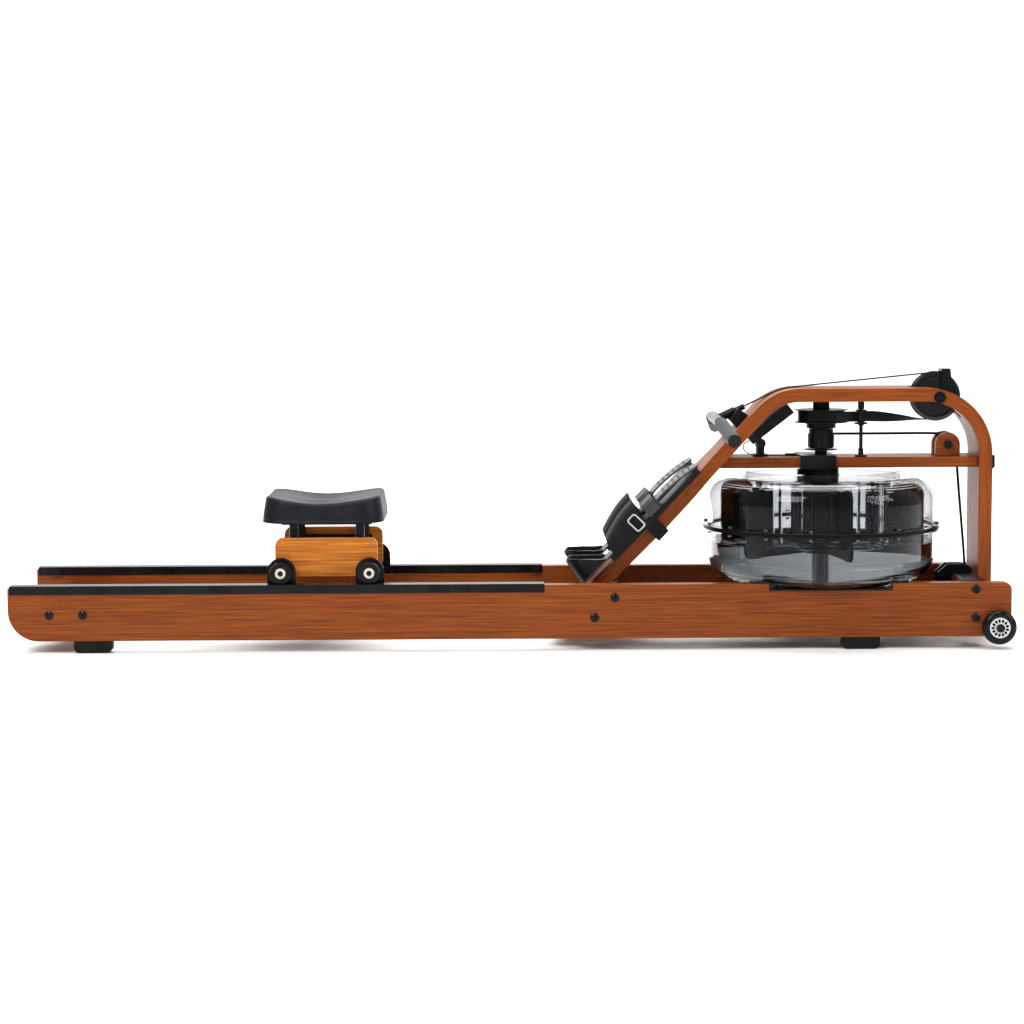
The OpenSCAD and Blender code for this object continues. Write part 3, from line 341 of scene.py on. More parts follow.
# Puts an object with this mesh into the scene, with one material and a body to ride on.
def place(name, mesh, material, body, instead=()):
    piece = bpy.data.objects.new(name, mesh)
    collection.objects.link(piece)
    mesh.materials.clear()
    mesh.materials.append(finish[material])
    if instead:
        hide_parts(*instead)
    if body:
        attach(piece, body)
    return piece


# Merges doubled points, turns faces outwards and marks edges sharper than the angle.
def tidyMesh(mesh, sharp=0.62, flat=False, outwards=True):
    work = bmesh.new()
    work.from_mesh(mesh)
    bmesh.ops.remove_doubles(work, verts=work.verts, dist=1e-6)
    bmesh.ops.dissolve_degenerate(work, edges=work.edges, dist=1e-7)
    if flat:
        bmesh.ops.dissolve_limit(work, angle_limit=0.02, verts=work.verts, edges=work.edges)
    if outwards:
        bmesh.ops.recalc_face_normals(work, faces=work.faces)
    for face in work.faces:
        face.smooth = True
    for edge in work.edges:
        if len(edge.link_faces) == 2 and edge.calc_face_angle(0) > sharp:
            edge.smooth = False
    work.to_mesh(mesh)
    work.free()
    mesh.update()


# A surface from a grid of points (rows, columns, 3). It may close on itself along rows or columns,
# its first and last rows may be capped, and cells outside keep are left open.
def gridMesh(name, points, closeRows=False, closeColumns=False, caps=False, keep=None, uv=None):
    rows, columns = points.shape[:2]
    r = np.arange(rows if closeRows else rows - 1)
    c = np.arange(columns if closeColumns else columns - 1)
    i, j = np.meshgrid(r, c, indexing="ij")
    if keep is not None:
        i, j = i[keep], j[keep]
    i, j = i.ravel(), j.ravel()
    i2, j2 = (i + 1) % rows, (j + 1) % columns
    quads = np.stack([i * columns + j, i * columns + j2, i2 * columns + j2, i2 * columns + j], 1)
    faces = quads.tolist()
    if caps:
        faces.append(list(range(columns))[::-1])
        faces.append(list(range((rows - 1) * columns, rows * columns)))
    mesh = bpy.data.meshes.new(name)
    mesh.from_pydata(points.reshape(-1, 3).tolist(), [], faces)
    if uv is not None:
        layer = mesh.uv_layers.new(name="UVMap")
        corners = ((0, 0), (0, 1), (1, 1), (1, 0))
        flat = np.stack([np.stack([uv[0][i + a], uv[1][j + b]], 1) for a, b in corners], 1)
        values = np.zeros((len(mesh.loops), 2), np.float32)
        values[:len(quads) * 4] = flat.reshape(-1, 2)
        layer.data.foreach_set("uv", values.ravel())
    return mesh


# A profile of (radius, height) pairs turned about an axis through a centre.
def turnedMesh(name, profile, centre, axis="y", sides=64, closed=True):
    profile = np.array(profile, float)
    angle = fullTurn(sides)
    r, h = profile[:, 0][:, None], profile[:, 1][:, None] + 0 * angle
    a, b = r * np.cos(angle), r * np.sin(angle)
    grid = np.stack([a, h, b] if axis == "y" else [a, b, h], 2) + np.array(centre)
    mesh = gridMesh(name, grid, closeRows=closed, closeColumns=True)
    tidyMesh(mesh)
    return mesh


# Angles evenly round a whole turn.
def fullTurn(count):
    return np.linspace(0, 2 * math.pi, count, endpoint=False)


# Half a profile, then the same mirrored in height, so that both faces match.
def bothFaces(half):
    return half + [(r, -h) for r, h in half[::-1]]


# Points of a smooth curve through the given ones, k to each span.
def smoothCurve(points, k):
    p = np.array(points, float)
    p = np.concatenate([p[:1], p, p[-1:]])
    t = np.linspace(0, 1, k, endpoint=False)[None, :, None]
    a, b, c, d = p[:-3, None], p[1:-2, None], p[2:-1, None], p[3:, None]
    spans = 0.5 * (2 * b + (c - a) * t + (2 * a - 5 * b + 4 * c - d) * t ** 2 + (3 * b - a - 3 * c + d) * t ** 3)
    return np.concatenate([spans.reshape(-1, p.shape[1]), p[-1:]])


# A grid of points from its three coordinates, each spread over all rows and columns.
def gridOf(x, y, z):
    return np.stack(np.broadcast_arrays(x, y, z), -1)


# Each row divided by its length.
def unitRows(v):
    return v / np.linalg.norm(v, axis=1, keepdims=True)


# A section carried along a path: side and up are the path's cross directions, turned by twist.
def sweptMesh(name, path, section, twist=None, level=(0, 1, 0)):
    path, section = np.array(path, float), np.array(section, float)
    ahead = unitRows(np.gradient(path, axis=0))
    level = np.array(level, float) + 0 * path
    side = unitRows(level - (level * ahead).sum(1)[:, None] * ahead)
    up = np.cross(ahead, side)
    turn = np.radians(twist if twist is not None else np.zeros(len(path)))[:, None]
    across = np.cos(turn) * side + np.sin(turn) * up
    out = np.cross(ahead, across)
    grid = path[:, None] + section[:, 0][None, :, None] * across[:, None] + section[:, 1][None, :, None] * out[:, None]
    run = np.concatenate([[0], np.cumsum(np.linalg.norm(np.diff(path, axis=0), axis=1))])
    around = np.concatenate([section[:, 0], section[:1, 0]])
    mesh = gridMesh(name, grid, closeColumns=True, caps=True, uv=(run, around))
    tidyMesh(mesh)
    return mesh


# Points round a circle, as a section for a swept cord.
def circleSection(radius, sides=14):
    angle = fullTurn(sides)
    return np.stack([radius * np.cos(angle), radius * np.sin(angle)], 1)


# A flat strip's section with rounded edges.
def stripSection(width, thick, steps=6):
    a = np.linspace(-math.pi / 2, math.pi / 2, steps)
    half, r = width / 2 - thick / 2, thick / 2
    right = np.stack([half + r * np.cos(a), r * np.sin(a)], 1)
    middle = np.linspace(half, -half, 8)[1:-1]
    top = np.stack([middle, 0 * middle + r], 1)
    return np.concatenate([right, top, -right, -top])


# A turned piece put straight into the scene.
def placeTurned(name, profile, centre, material, body, instead=(), axis="y", sides=64):
    return place(name, turnedMesh(name, profile, centre, axis, sides), material, body, instead)


# One modifier with its values set.
def addModifier(piece, kind, **values):
    made = piece.modifiers.new(kind.lower(), kind)
    for key, value in values.items():
        setattr(made, key, value)


# Rounds a piece's sharp edges.
def easeEdges(piece, width, segments=2, angle=0.9, **more):
    addModifier(piece, "BEVEL", width=width, segments=segments, limit_method="ANGLE", angle_limit=angle, **more)


# A mesh's points as rows.
def pointsOf(mesh):
    co = np.zeros(len(mesh.vertices) * 3)
    mesh.vertices.foreach_get("co", co)
    return co.reshape(-1, 3)


# Takes away the points a test picks, and closes the openings they leave.
def removePart(mesh, test):
    chosen = test(pointsOf(mesh))
    work = bmesh.new()
    work.from_mesh(mesh)
    work.verts.ensure_lookup_table()
    bmesh.ops.delete(work, geom=[work.verts[i] for i in np.flatnonzero(chosen)], context="VERTS")
    bmesh.ops.remove_doubles(work, verts=work.verts, dist=1e-6)
    bmesh.ops.holes_fill(work, edges=work.edges, sides=0)
    work.to_mesh(mesh)
    work.free()


# A copy of a CAD node's mesh with its edges eased, which stands for the node.
def easedCopy(node, material, width, segments=2, body="frame", grain=None, without=None):
    mesh = nodes[node].data.copy()
    mesh.name = node
    if without is not None:
        removePart(mesh, without)
    tidyMesh(mesh, flat=True, outwards=False)
    if grain is not None:
        layer = mesh.attributes.new("grain", "FLOAT_VECTOR", "POINT")
        layer.data.foreach_set("vector", grain(pointsOf(mesh)).astype(np.float32).ravel())
    piece = place(node + "_eased", mesh, material, body, [node])
    easeEdges(piece, width, segments, 0.7, harden_normals=True, use_clamp_overlap=True)


# Gives CAD nodes a finish without touching their shape.
def paint(material, *names):
    for name in names:
        nodes[name].data.materials.clear()
        nodes[name].data.materials.append(finish[material])


# Timber frame.

archSettings = {
    "slopeStart": (0.1683, 0.1274), "slope": 46.0, "steep": 47.1,
    "bend": (0.6119, 0.4178), "bendRadius": 0.12,
    "corner": (0.88, 0.3978), "cornerRadius": 0.14,
}


# Distance along the bent board: up the slope, round the bend, along the top, round the corner, down the leg.
def archGrain(co):
    s = archSettings
    x, y, z = co.T
    (bx, bz), (cx, cz) = s["bend"], s["corner"]
    radius, corner, steep = s["bendRadius"], s["cornerRadius"], math.radians(s["steep"])
    dx, dz, ex, ez = x - bx, z - bz, x - cx, z - cz
    angleB, angleC = np.arctan2(dx, dz), np.arctan2(ex, ez)
    u = dx * math.cos(steep) + dz * math.sin(steep) - radius * steep
    v = -dx * math.sin(steep) + dz * math.cos(steep)
    inBend = (angleB > -steep) & (dx < 0) & (dz > 0)
    u, v = np.where(inBend, radius * angleB, u), np.where(inBend, np.hypot(dx, dz), v)
    flat = dx >= 0
    u, v = np.where(flat, dx, u), np.where(flat, dz, v)
    inCorner = (ex > 0) & (ez > 0)
    u = np.where(inCorner, cx - bx + corner * angleC, u)
    v = np.where(inCorner, np.hypot(ex, ez) - corner + radius, v)
    down = (ex > 0) & (ez <= 0)
    u = np.where(down, cx - bx + corner * math.pi / 2 + cz - z, u)
    v = np.where(down, ex - corner + radius, v)
    return np.stack([u, y, v], 1)


# Height off the leg's face: across the slope from where the face passes the rails.
def offLeg(co):
    slope = math.radians(archSettings["slope"])
    x0, z0 = archSettings["slopeStart"]
    return (co[:, 2] - z0) * math.cos(slope) - (co[:, 0] - x0) * math.sin(slope)


for name in ("right_rail", "left_rail"):
    easedCopy(name, "railWood", 0.0022, 3)
for name in ("rear_crossmember", "middle_crossmember", "front_crossmember"):
    easedCopy(name, "crossWood", 0.0015)
easedCopy("arch", "archWood", 0.002, 3, grain=archGrain)
easedCopy("shelf", "railWood", 0.002)
easedCopy("pulley_cheeks", "railWood", 0.0012)
easedCopy("carriage_boards", "boardWood", 0.0025, 3, "seat_carriage")
easedCopy("front_bumper", "rubber", 0.0015)
easedCopy("feet", "rubber", 0.0012)
easedCopy("handle_rest", "blackPlastic", 0.0015)
easedCopy("monitor_case", "blackPlastic", 0.003, 3, "monitor")
baseTop = 0.0118   # the bar and tabs above this height are left out of the foot base
easedCopy("foot_base", "blackPlastic", 0.0008, without=lambda co: offLeg(co) > baseTop)
paint("trackBlack", "right_track", "left_track")
paint("blackPaint", "frame_fasteners", "seat_chassis", "belt_keeper", "monitor_bracket", "handle_bar",
      "pulley_axles", "idler_post")
paint("blackPlastic", "seat_stops", "tank_saddles", "shaft_bearings", "lower_pulley_housing", "level_dial",
      "drive_spool", "recoil_drum", "idler_roller", "recoil_pulley", "lower_pulley", "impeller")
paint("rubber", "tank_gasket")
paint("darkSteel", "tank_bolts")
paint("zinc", "main_shaft", "strap_buckles")
paint("clearShell", "tank_lower_shell", "tank_upper_shell")
paint("smokeShell", "inner_reservoir")
paint("greyPlastic", "monitor_key_left", "monitor_key_right")
print("frame dressed")

# Seat.

seatSettings = {
    "centre": (-0.397, 0.0), "length": 0.2575, "width": 0.2835, "corner": 0.054,
    "bottom": 0.2624, "low": 0.3035, "dish": 0.46, "taper": 0.0065, "rim": 0.01, "sideLift": 0.0045, "seam": 0.0011,
    "hollow": 0.0075, "hollowSide": 0.062, "hollowBack": 0.01, "hollowSize": 0.055, "flatTop": 0.3207, "skirt": 0.008,
}


# Rounded rectangle as a closed ring: corner arcs joined by straight sides, then points spaced evenly along it.
def roundedRing(length, width, corner, steps=16, count=112):
    a = np.linspace(0, math.pi / 2, steps)
    pieces = []
    for k, (sx, sy) in enumerate(((1, 1), (-1, 1), (-1, -1), (1, -1))):
        turn = a + k * math.pi / 2
        pieces.append(np.stack([sx * (length / 2 - corner) + corner * np.cos(turn),
                                sy * (width / 2 - corner) + corner * np.sin(turn)], 1))
    ring = np.concatenate(pieces)
    gaps = np.linalg.norm(np.roll(ring, -1, 0) - ring, axis=1)
    run = np.concatenate([[0], np.cumsum(gaps)])
    ring = np.concatenate([ring, ring[:1]])
    even = np.linspace(0, run[-1], count, endpoint=False)
    return np.stack([np.interp(even, run, ring[:, 0]), np.interp(even, run, ring[:, 1])], 1)


# Top height: a long dish along the rails with two hollows side by side, rounded down at the rim.
def seatTop(x, y, s):
    dished = s["low"] + x ** 2 / (2 * s["dish"]) + s["sideLift"] * (y / (s["width"] / 2)) ** 2
    hollows = np.exp(-((np.abs(y) - s["hollowSide"]) ** 2 + (x + s["hollowBack"]) ** 2) / s["hollowSize"] ** 2)
    return np.minimum(dished, s["flatTop"]) - s["hollow"] * hollows


# The cushion: rings of points from the flat underside, up the tapered sides, over a round rim and in across the dish.
def makeSeat(s):
    ring = roundedRing(s["length"], s["width"], s["corner"])
    shrink = lambda d: ring * (1 - d / np.array([s["length"] / 2, s["width"] / 2]))
    rows = []
    addRow = lambda points, z: rows.append(np.column_stack([points, z + 0 * points[:, 0]]))
    for share in (0.0, 0.5, 0.97):
        addRow(ring * share, s["bottom"])
    for d, lift in ((0.0005, 0.001), (0.0, 0.004), (0.0004, 0.0065), (0.0015, 0.0072), (0.0004, 0.008)):
        addRow(shrink(d), s["bottom"] + lift)
    edge = shrink(s["taper"])
    rimTop = seatTop(edge[:, 0], edge[:, 1], s)
    for share in np.linspace(0.25, 1.0, 6):
        side = shrink(s["taper"] * share)
        z = s["bottom"] + s["skirt"] + (rimTop - s["rim"] - s["bottom"] - s["skirt"]) * share
        addRow(side, z)
    for a in np.radians((20, 40, 60, 80)):
        side = shrink(s["taper"] + s["rim"] * (1 - math.cos(a)))
        top = seatTop(side[:, 0], side[:, 1], s)
        addRow(side, top - s["rim"] * (1 - math.sin(a)))
    for share in np.concatenate([[0.97, 0.93, 0.9, 0.87, 0.83], np.linspace(0.78, 0.0, 14)]):
        inner = shrink(s["taper"] + s["rim"]) * share
        seam = s["seam"] * math.exp(-((share - 0.9) / 0.02) ** 2)
        addRow(inner, seatTop(inner[:, 0], inner[:, 1], s) - seam)
    grid = np.stack(rows)
    grid[..., 0] += s["centre"][0]
    mesh = gridMesh("seatCushion", grid, closeColumns=True)
    tidyMesh(mesh, 1.2)
    cushion = place("seatCushion", mesh, "seatSkin", None, ["seat_pad"])
    addModifier(cushion, "SUBSURF", levels=1, render_levels=1)
    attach(cushion, "seat_carriage")


makeSeat(seatSettings)

wheelSettings = {
    "radius": 0.0225, "half": 0.01, "height": 0.1636, "across": 0.174,
    "centreX": -0.3895, "wheelbase": 0.185,
}


# A turned roller: crowned tread, stepped side rings, and a pale bearing ring set into each side.
def makeSeatWheel(name, body, x, y, s):
    r, h = s["radius"], s["half"]
    centre = (x, y, s["height"])
    half = [(0.0112, h - 0.0022), (0.0118, h - 0.0004), (0.015, h - 0.0004), (0.0154, h - 0.0014),
            (0.0176, h - 0.0014), (0.018, h - 0.0002), (0.0203, h), (0.0216, h - 0.0006), (r - 0.0002, h - 0.0022)]
    profile = bothFaces(half)
    profile.insert(len(half), (r, 0.0))
    placeTurned(name + "Tyre", profile, centre, "urethane", body, ["seat_wheel_" + name])
    ring = bothFaces([(0.0054, h - 0.0018), (0.006, h - 0.0012), (0.01, h - 0.0012), (0.0111, h - 0.002)])
    placeTurned(name + "Bearing", ring, centre, "creamPlastic", body)


for end, sign in (("rear", -0.5), ("front", 0.5)):
    for side, way in (("right", -1), ("left", 1)):
        x = wheelSettings["centreX"] + sign * wheelSettings["wheelbase"]
        name = end + "_" + side
        makeSeatWheel(name, name + "_seat_wheel", x, way * wheelSettings["across"], wheelSettings)
print("seat made")

# Feet: heel cups, soles and straps.

footSettings = {
    "across": 0.084, "halfSole": 0.042, "soleStart": -0.008, "soleEnd": 0.337, "soleHeight": 0.0142, "soleThick": 0.004,
    "riseFrom": 0.19, "crown": 0.235, "crownRise": 0.0125, "tipDrop": 0.012,
    "tipFrom": 0.305, "tipLength": 0.032, "tipNarrow": 0.3,
    "slotStart": 0.246, "slotPitch": 0.014, "slotLength": 0.006, "slotCount": 6, "slotIn": 0.011, "slotOut": 0.029,
    "ribPitch": 0.014, "ribHeight": 0.0006, "ribEnd": 0.2, "shadeSheetDrop": 0.0009, "shadeSheetThick": 0.0008,
}


# Leg coordinates (up the slope, across, off its face) to the row frame.
def onLeg(points):
    a = math.radians(archSettings["slope"])
    s, y, n = points[..., 0], points[..., 1], points[..., 2]
    x0, z0 = archSettings["slopeStart"]
    return np.stack([x0 + s * math.cos(a) - n * math.sin(a), y, z0 + s * math.sin(a) + n * math.cos(a)], -1)


# The sole: a strip that rises to a crown and bows down again to its tip, cut through by pairs of slots.
def makeSole(side, body, node, f):
    slots = f["slotStart"] + f["slotPitch"] * np.arange(f["slotCount"])
    s = np.unique(np.round(np.concatenate([
        np.linspace(f["soleStart"], f["slotStart"] - 0.004, 24), slots, slots + f["slotLength"],
        np.linspace(f["slotStart"] + 0.08, f["soleEnd"], 6)]), 6))
    half = f["halfSole"]
    y = np.unique(np.round(np.concatenate([
        np.linspace(-half, half, 13), [-f["slotOut"], -f["slotIn"], f["slotIn"], f["slotOut"]]]), 6))
    tip = np.clip((s - f["tipFrom"]) / f["tipLength"], 0, 1)[:, None]
    across = side * f["across"] + y[None] * (1 - f["tipNarrow"] * tip ** 3)
    climb = np.clip((s - f["riseFrom"]) / (f["crown"] - f["riseFrom"]), 0, 1)
    lift = f["crownRise"] * climb ** 2 * (3 - 2 * climb) - f["tipDrop"] * (np.clip(s - f["crown"], 0, 1) / 0.1) ** 2
    ribs = f["ribHeight"] * (np.sin(y * 2 * math.pi / f["ribPitch"]) > 0)[None] * (s < f["ribEnd"])[:, None]
    grid = gridOf(s[:, None], across, f["soleHeight"] + lift[:, None] + ribs)
    middleS, middleY = (s[1:] + s[:-1]) / 2, np.abs((y[1:] + y[:-1]) / 2)
    inSlotS = ((middleS[:, None] > slots) & (middleS[:, None] < slots + f["slotLength"])).any(1)
    inSlotY = (middleY > f["slotIn"]) & (middleY < f["slotOut"])
    name = "sole" + sideWord[side]
    mesh = gridMesh(name, onLeg(grid), keep=~(inSlotS[:, None] & inSlotY[None]))
    tidyMesh(mesh, outwards=False)
    piece = place(name, mesh, "greyPlastic", body, [node])
    addModifier(piece, "SOLIDIFY", thickness=f["soleThick"], offset=0.0)
    easeEdges(piece, 0.0006)
    # a thin dark sheet half way down the slots is painted shade, standing for the shade seen through them
    slotShadeMesh = gridMesh(name + "Web", onLeg((grid - (0, 0, f["shadeSheetDrop"]))[3:-2, 1:-1]))
    tidyMesh(slotShadeMesh, outwards=False)
    slotShadePiece = place(name + "Web", slotShadeMesh, "deepBlack", body)
    addModifier(slotShadePiece, "SOLIDIFY", thickness=f["shadeSheetThick"], offset=0.0)


cupSettings = {
    "half": 0.0385, "back": 0.026, "backDepth": 0.038, "roundness": 0.6, "sideCurve": 0.7,
    "wallFront": 0.064, "wallBack": 0.029, "lipBack": 0.071, "lipFall": 0.84,
    "lean": 0.011, "leanEnd": 0.05, "flare": 0.04, "rollEnd": 0.02, "thick": 0.0028, "rimHighlightRadius": 0.001,
}


# The cup: a U-shaped wall round the heel whose lip falls in a straight line from the back to the sole.
def makeHeelCup(side, body, f, c):
    turn = np.linspace(-math.pi / 2, math.pi / 2, 33)
    backS = c["back"] - c["backDepth"] * np.cos(turn) ** c["roundness"]
    backY = c["half"] * np.sign(np.sin(turn)) * np.abs(np.sin(turn)) ** c["sideCurve"]
    run = np.linspace(c["wallFront"], c["wallBack"], 12)
    s = np.concatenate([run, backS, run[::-1]])
    y = np.concatenate([-c["half"] + 0 * run, backY, c["half"] + 0 * run])
    lipTop = c["lipBack"] - c["lipFall"] * np.clip(s, 0, 1)
    v = np.concatenate([np.linspace(0, 0.94, 14), [0.98, 1.0, 0.99]])
    roll = np.concatenate([np.zeros(14), [0.0006, 0.0014, 0.0022]])
    forward = c["lean"] * v[:, None] * np.clip(1 - s / c["leanEnd"], 0, 1)
    grid = gridOf(s + forward - roll[:, None] * (s < c["rollEnd"]),
                  side * f["across"] + y * (1 + c["flare"] * v[:, None] ** 2) + roll[:, None] * np.sign(y),
                  f["soleHeight"] + v[:, None] * (lipTop - f["soleHeight"]))
    word = sideWord[side]
    mesh = gridMesh("heelCup" + word, onLeg(grid))
    tidyMesh(mesh, 1.0)
    piece = place("heelCup" + word, mesh, "blackPlastic", body)
    addModifier(piece, "SOLIDIFY", thickness=c["thick"], offset=0.0)
    addModifier(piece, "SUBSURF", levels=1, render_levels=1)
    # a thin grey tube along the lip is a painted highlight on the lip's edge
    rim = sweptMesh("cupRimHighlight" + word, onLeg(grid[-2]), circleSection(c["rimHighlightRadius"], 10), level=(0.3, 0.9, 0.3))
    place("cupRimHighlight" + word, rim, "rimHighlightGrey", body)


bridgeSettings = {
    "stations": (0.191, 0.1918, 0.2, 0.21, 0.2212, 0.222), "half": 0.0475, "top": 0.041, "low": 0.0117, "thick": 0.0026,
    "corner": 0.008, "innerCorner": 0.009, "ribHalf": 0.034, "ribPitch": 0.0085, "ribHeight": 0.0009, "ease": 0.0006,
}


# The bridge on the toe side of the instep band: a rounded channel over the sole, with raised ribs on top.
def makeToeBridge(side, f, b):
    half, top, low, thick = b["half"], b["top"], b["low"], b["thick"]
    bend, inset = b["corner"], b["innerCorner"]
    corner = np.radians(np.linspace(0, 90, 7))
    right = np.stack([half - bend + bend * np.cos(corner), top - bend + bend * np.sin(corner)], 1)
    ribY = np.linspace(b["ribHalf"], -b["ribHalf"], 33)
    crown = np.stack([ribY, top + b["ribHeight"] * (np.sin(ribY * 2 * math.pi / b["ribPitch"]) > 0)], 1)
    outer = np.concatenate([[[half, low]], right, crown, (right * (-1, 1))[::-1], [[-half, low]]])
    inner = np.array([[-half + thick, low], [-half + thick, top - inset], [-half + inset, top - thick],
                      [half - inset, top - thick], [half - thick, top - inset], [half - thick, low]])
    outline = np.concatenate([outer, inner])
    s = np.array(b["stations"])
    ends = np.array([1, 0, 0, 0, 0, 1])[:, None]
    height = outline[:, 1] - b["ease"] * ends * (outline[:, 1] > low + 0.001)
    grid = gridOf(s[:, None], side * f["across"] + outline[:, 0], height)
    name = "toeBridge" + sideWord[side]
    mesh = gridMesh(name, onLeg(grid), closeColumns=True, caps=True)
    tidyMesh(mesh, 0.5)
    place(name, mesh, "greyPlastic", "frame")


strapSettings = {
    "heelEnd": 0.08, "toeEnd": 0.19, "inset": 0.002, "shorter": 0.014, "half": 0.0495, "foot": 0.0045,
    "low": 0.046, "top": 0.062, "sideCurve": 0.55, "riseCurve": 0.62, "bow": 0.01, "swell": 0.0016, "thick": 0.003,
}


# The instep band: a wide arch of webbing, higher towards the toes, its middle bowed forward.
def makeStrap(side, f, b):
    turn = np.linspace(0, math.pi, 41)
    y = b["half"] * np.sign(np.cos(turn)) * np.abs(np.cos(turn)) ** b["sideCurve"]
    t = np.linspace(0, 1, 25)
    crown = b["low"] + (b["top"] - b["low"]) * np.sin(t * math.pi / 2)
    n = b["foot"] + (crown[:, None] - b["foot"]) * np.sin(turn) ** b["riseCurve"]
    bow = b["bow"] * np.sin(turn) ** 2
    grid = gridOf(b["heelEnd"] + b["inset"] + t[:, None] * (b["toeEnd"] - b["heelEnd"] - b["shorter"]) + bow,
                  side * f["across"] + y,
                  n + b["swell"] * np.sin(t * math.pi)[:, None] * np.sin(turn))
    length = np.concatenate([[0], np.cumsum(np.hypot(np.diff(y), np.diff(n[-1])))])
    name = "instepBand" + sideWord[side]
    mesh = gridMesh(name, onLeg(grid), uv=(t * 0.1 - 0.05, length))
    tidyMesh(mesh, 1.2)
    piece = place(name, mesh, "footWebbing", "frame", ["foot_straps"])
    addModifier(piece, "SOLIDIFY", thickness=b["thick"], offset=-1.0)
    easeEdges(piece, 0.001)


for side, word in ((-1, "right"), (1, "left")):
    makeSole(side, word + "_heel", word + "_heel_slide", footSettings)
    makeHeelCup(side, word + "_heel", footSettings, cupSettings)
    makeStrap(side, footSettings, strapSettings)
    makeToeBridge(side, footSettings, bridgeSettings)
print("foot plates made")

# Belt, cord and lead.

tankAxis = (0.665, 0, 0)   # the upright shaft through tank and spool
beltSettings = {
    "width": 0.0225, "thick": 0.0024, "pullSlope": 24.6, "rise": 6.2, "clear": 0.0015, "overhang": 0.012,
    "pulley": (0.9076, 0.518), "pulleyRadius": 0.0505, "ferrule": (0.501, 0.4986),
    "twistRoute": [   # x, y, z and twist in degrees, from under the pulley to the spool
        (0.9076, 0, 0.4675, 0), (0.872, 0, 0.4686, 10), (0.838, -0.006, 0.471, 35), (0.803, -0.0145, 0.474, 64),
        (0.77, -0.0245, 0.4766, 90), (0.74, -0.032, 0.4766, 90), (0.712, -0.0388, 0.4766, 90),
        (0.69, -0.0441, 0.4766, 90)],
}


# Points on an upright circle at y = 0, from one angle to another in even steps.
def arcPoints(centre, radius, start, end, steps):
    a = np.radians(np.linspace(start, end, steps))
    return np.stack([centre[0] + radius * np.cos(a), 0 * a, centre[1] + radius * np.sin(a)], 1)


# Over the arch's bend, round the top pulley, then a quarter twist to the upright spool.
def makeBelt(b):
    bendRadius = archSettings["bendRadius"] + b["clear"]
    overBend = arcPoints(archSettings["bend"], bendRadius, 90 + b["pullSlope"], 90 + b["rise"], 12)
    around = arcPoints(b["pulley"], b["pulleyRadius"], 90 + b["rise"], -90, 44)
    slope = math.radians(b["pullSlope"])
    start = overBend[0] - b["overhang"] * np.array([math.cos(slope), 0, math.sin(slope)])
    between = np.linspace(overBend[-1], around[0], 30)[1:-1]
    flat = np.concatenate([[start], overBend, between, around])
    twisted = smoothCurve(b["twistRoute"], 8)[1:]
    path = np.concatenate([flat, twisted[:, :3]])
    twist = np.concatenate([np.zeros(len(flat)), twisted[:, 3]])
    section = stripSection(b["width"], b["thick"])
    place("driveBelt", sweptMesh("driveBelt", path, section, twist), "drivingBelt", "frame", ["drive_belt"])
    ferrule = np.array([b["ferrule"][0], 0, b["ferrule"][1]])
    line = np.linspace(start, ferrule, 60)
    strip = place("pulledBelt", sweptMesh("pulledBelt", line, section), "drivingBelt", None, ["pull_belt"])
    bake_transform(strip)


makeBelt(beltSettings)

spoolBand = {
    "low": 0.4656, "high": 0.4876, "firstTurn": 0.4662, "lastTurn": 0.487, "points": 18,
    "hub": 0.0489, "edge": 0.0492, "radius": 0.0497, "proud": 0.0003,
}


# The band already wound on the spool: a thick ring whose outside steps in and out as thin turns.
def makeSpoolBand(w):
    heights = np.linspace(w["firstTurn"], w["lastTurn"], w["points"])
    turns = [(w["radius"] + w["proud"] * (k % 2), z) for k, z in enumerate(heights)]
    ring = [(w["edge"], w["high"]), (w["hub"], w["high"]), (w["hub"], w["low"])]
    placeTurned("beltOnSpool", [(w["edge"], w["low"])] + turns + ring, tankAxis, "deepBlack", "spool",
                axis="z", sides=96)


makeSpoolBand(spoolBand)

# The top pulley: a raised boss, a sunk web and a grooved rim, the same on both sides.
pulleySide = [
    (0.0052, 0.0128), (0.015, 0.0128), (0.016, 0.012), (0.016, 0.0098), (0.017, 0.0088), (0.042, 0.0088),
    (0.043, 0.0096), (0.043, 0.0108), (0.044, 0.0108), (0.044, 0.0122), (0.0448, 0.0128), (0.0514, 0.0128),
    (0.053, 0.0118), (0.053, 0.0114), (0.0494, 0.0112), (0.049, 0.0108)]
pulleyCentre = (beltSettings["pulley"][0], 0, beltSettings["pulley"][1])
placeTurned("topPulleyTurned", bothFaces(pulleySide), pulleyCentre, "glossBlack", "top_wheel",
            ["top_pulley"], sides=128)

cordSettings = {
    "radius": 0.0028, "pulley": (0.932, 0.4155), "pulleyRadius": 0.0221, "lower": (0.957, 0.133), "lowerRadius": 0.0201,
    "fromDrum": [
        (0.672, 0.0313, 0.436), (0.7, 0.0275, 0.4363), (0.76, 0.019, 0.4368), (0.82, 0.011, 0.4374),
        (0.88, 0.004, 0.438), (0.915, 0.0005, 0.4375)],
    "down": [(0.9555, 0, 0.395), (0.957, 0, 0.37), (0.962, 0, 0.31), (0.9675, 0, 0.25), (0.973, 0, 0.19)],
    "back": [
        (0.93, 0, 0.1126), (0.8, 0, 0.11), (0.6, 0, 0.106), (0.4, 0, 0.102), (0.258, 0, 0.099),
        (0.245, 0, 0.099)],
    "anchorPlace": (0.248, 0, 0.099),
    "anchorProfile": [
        (0.0, -0.01), (0.0085, -0.01), (0.0095, -0.009), (0.0095, 0.009), (0.0085, 0.01), (0.0, 0.01)],
}


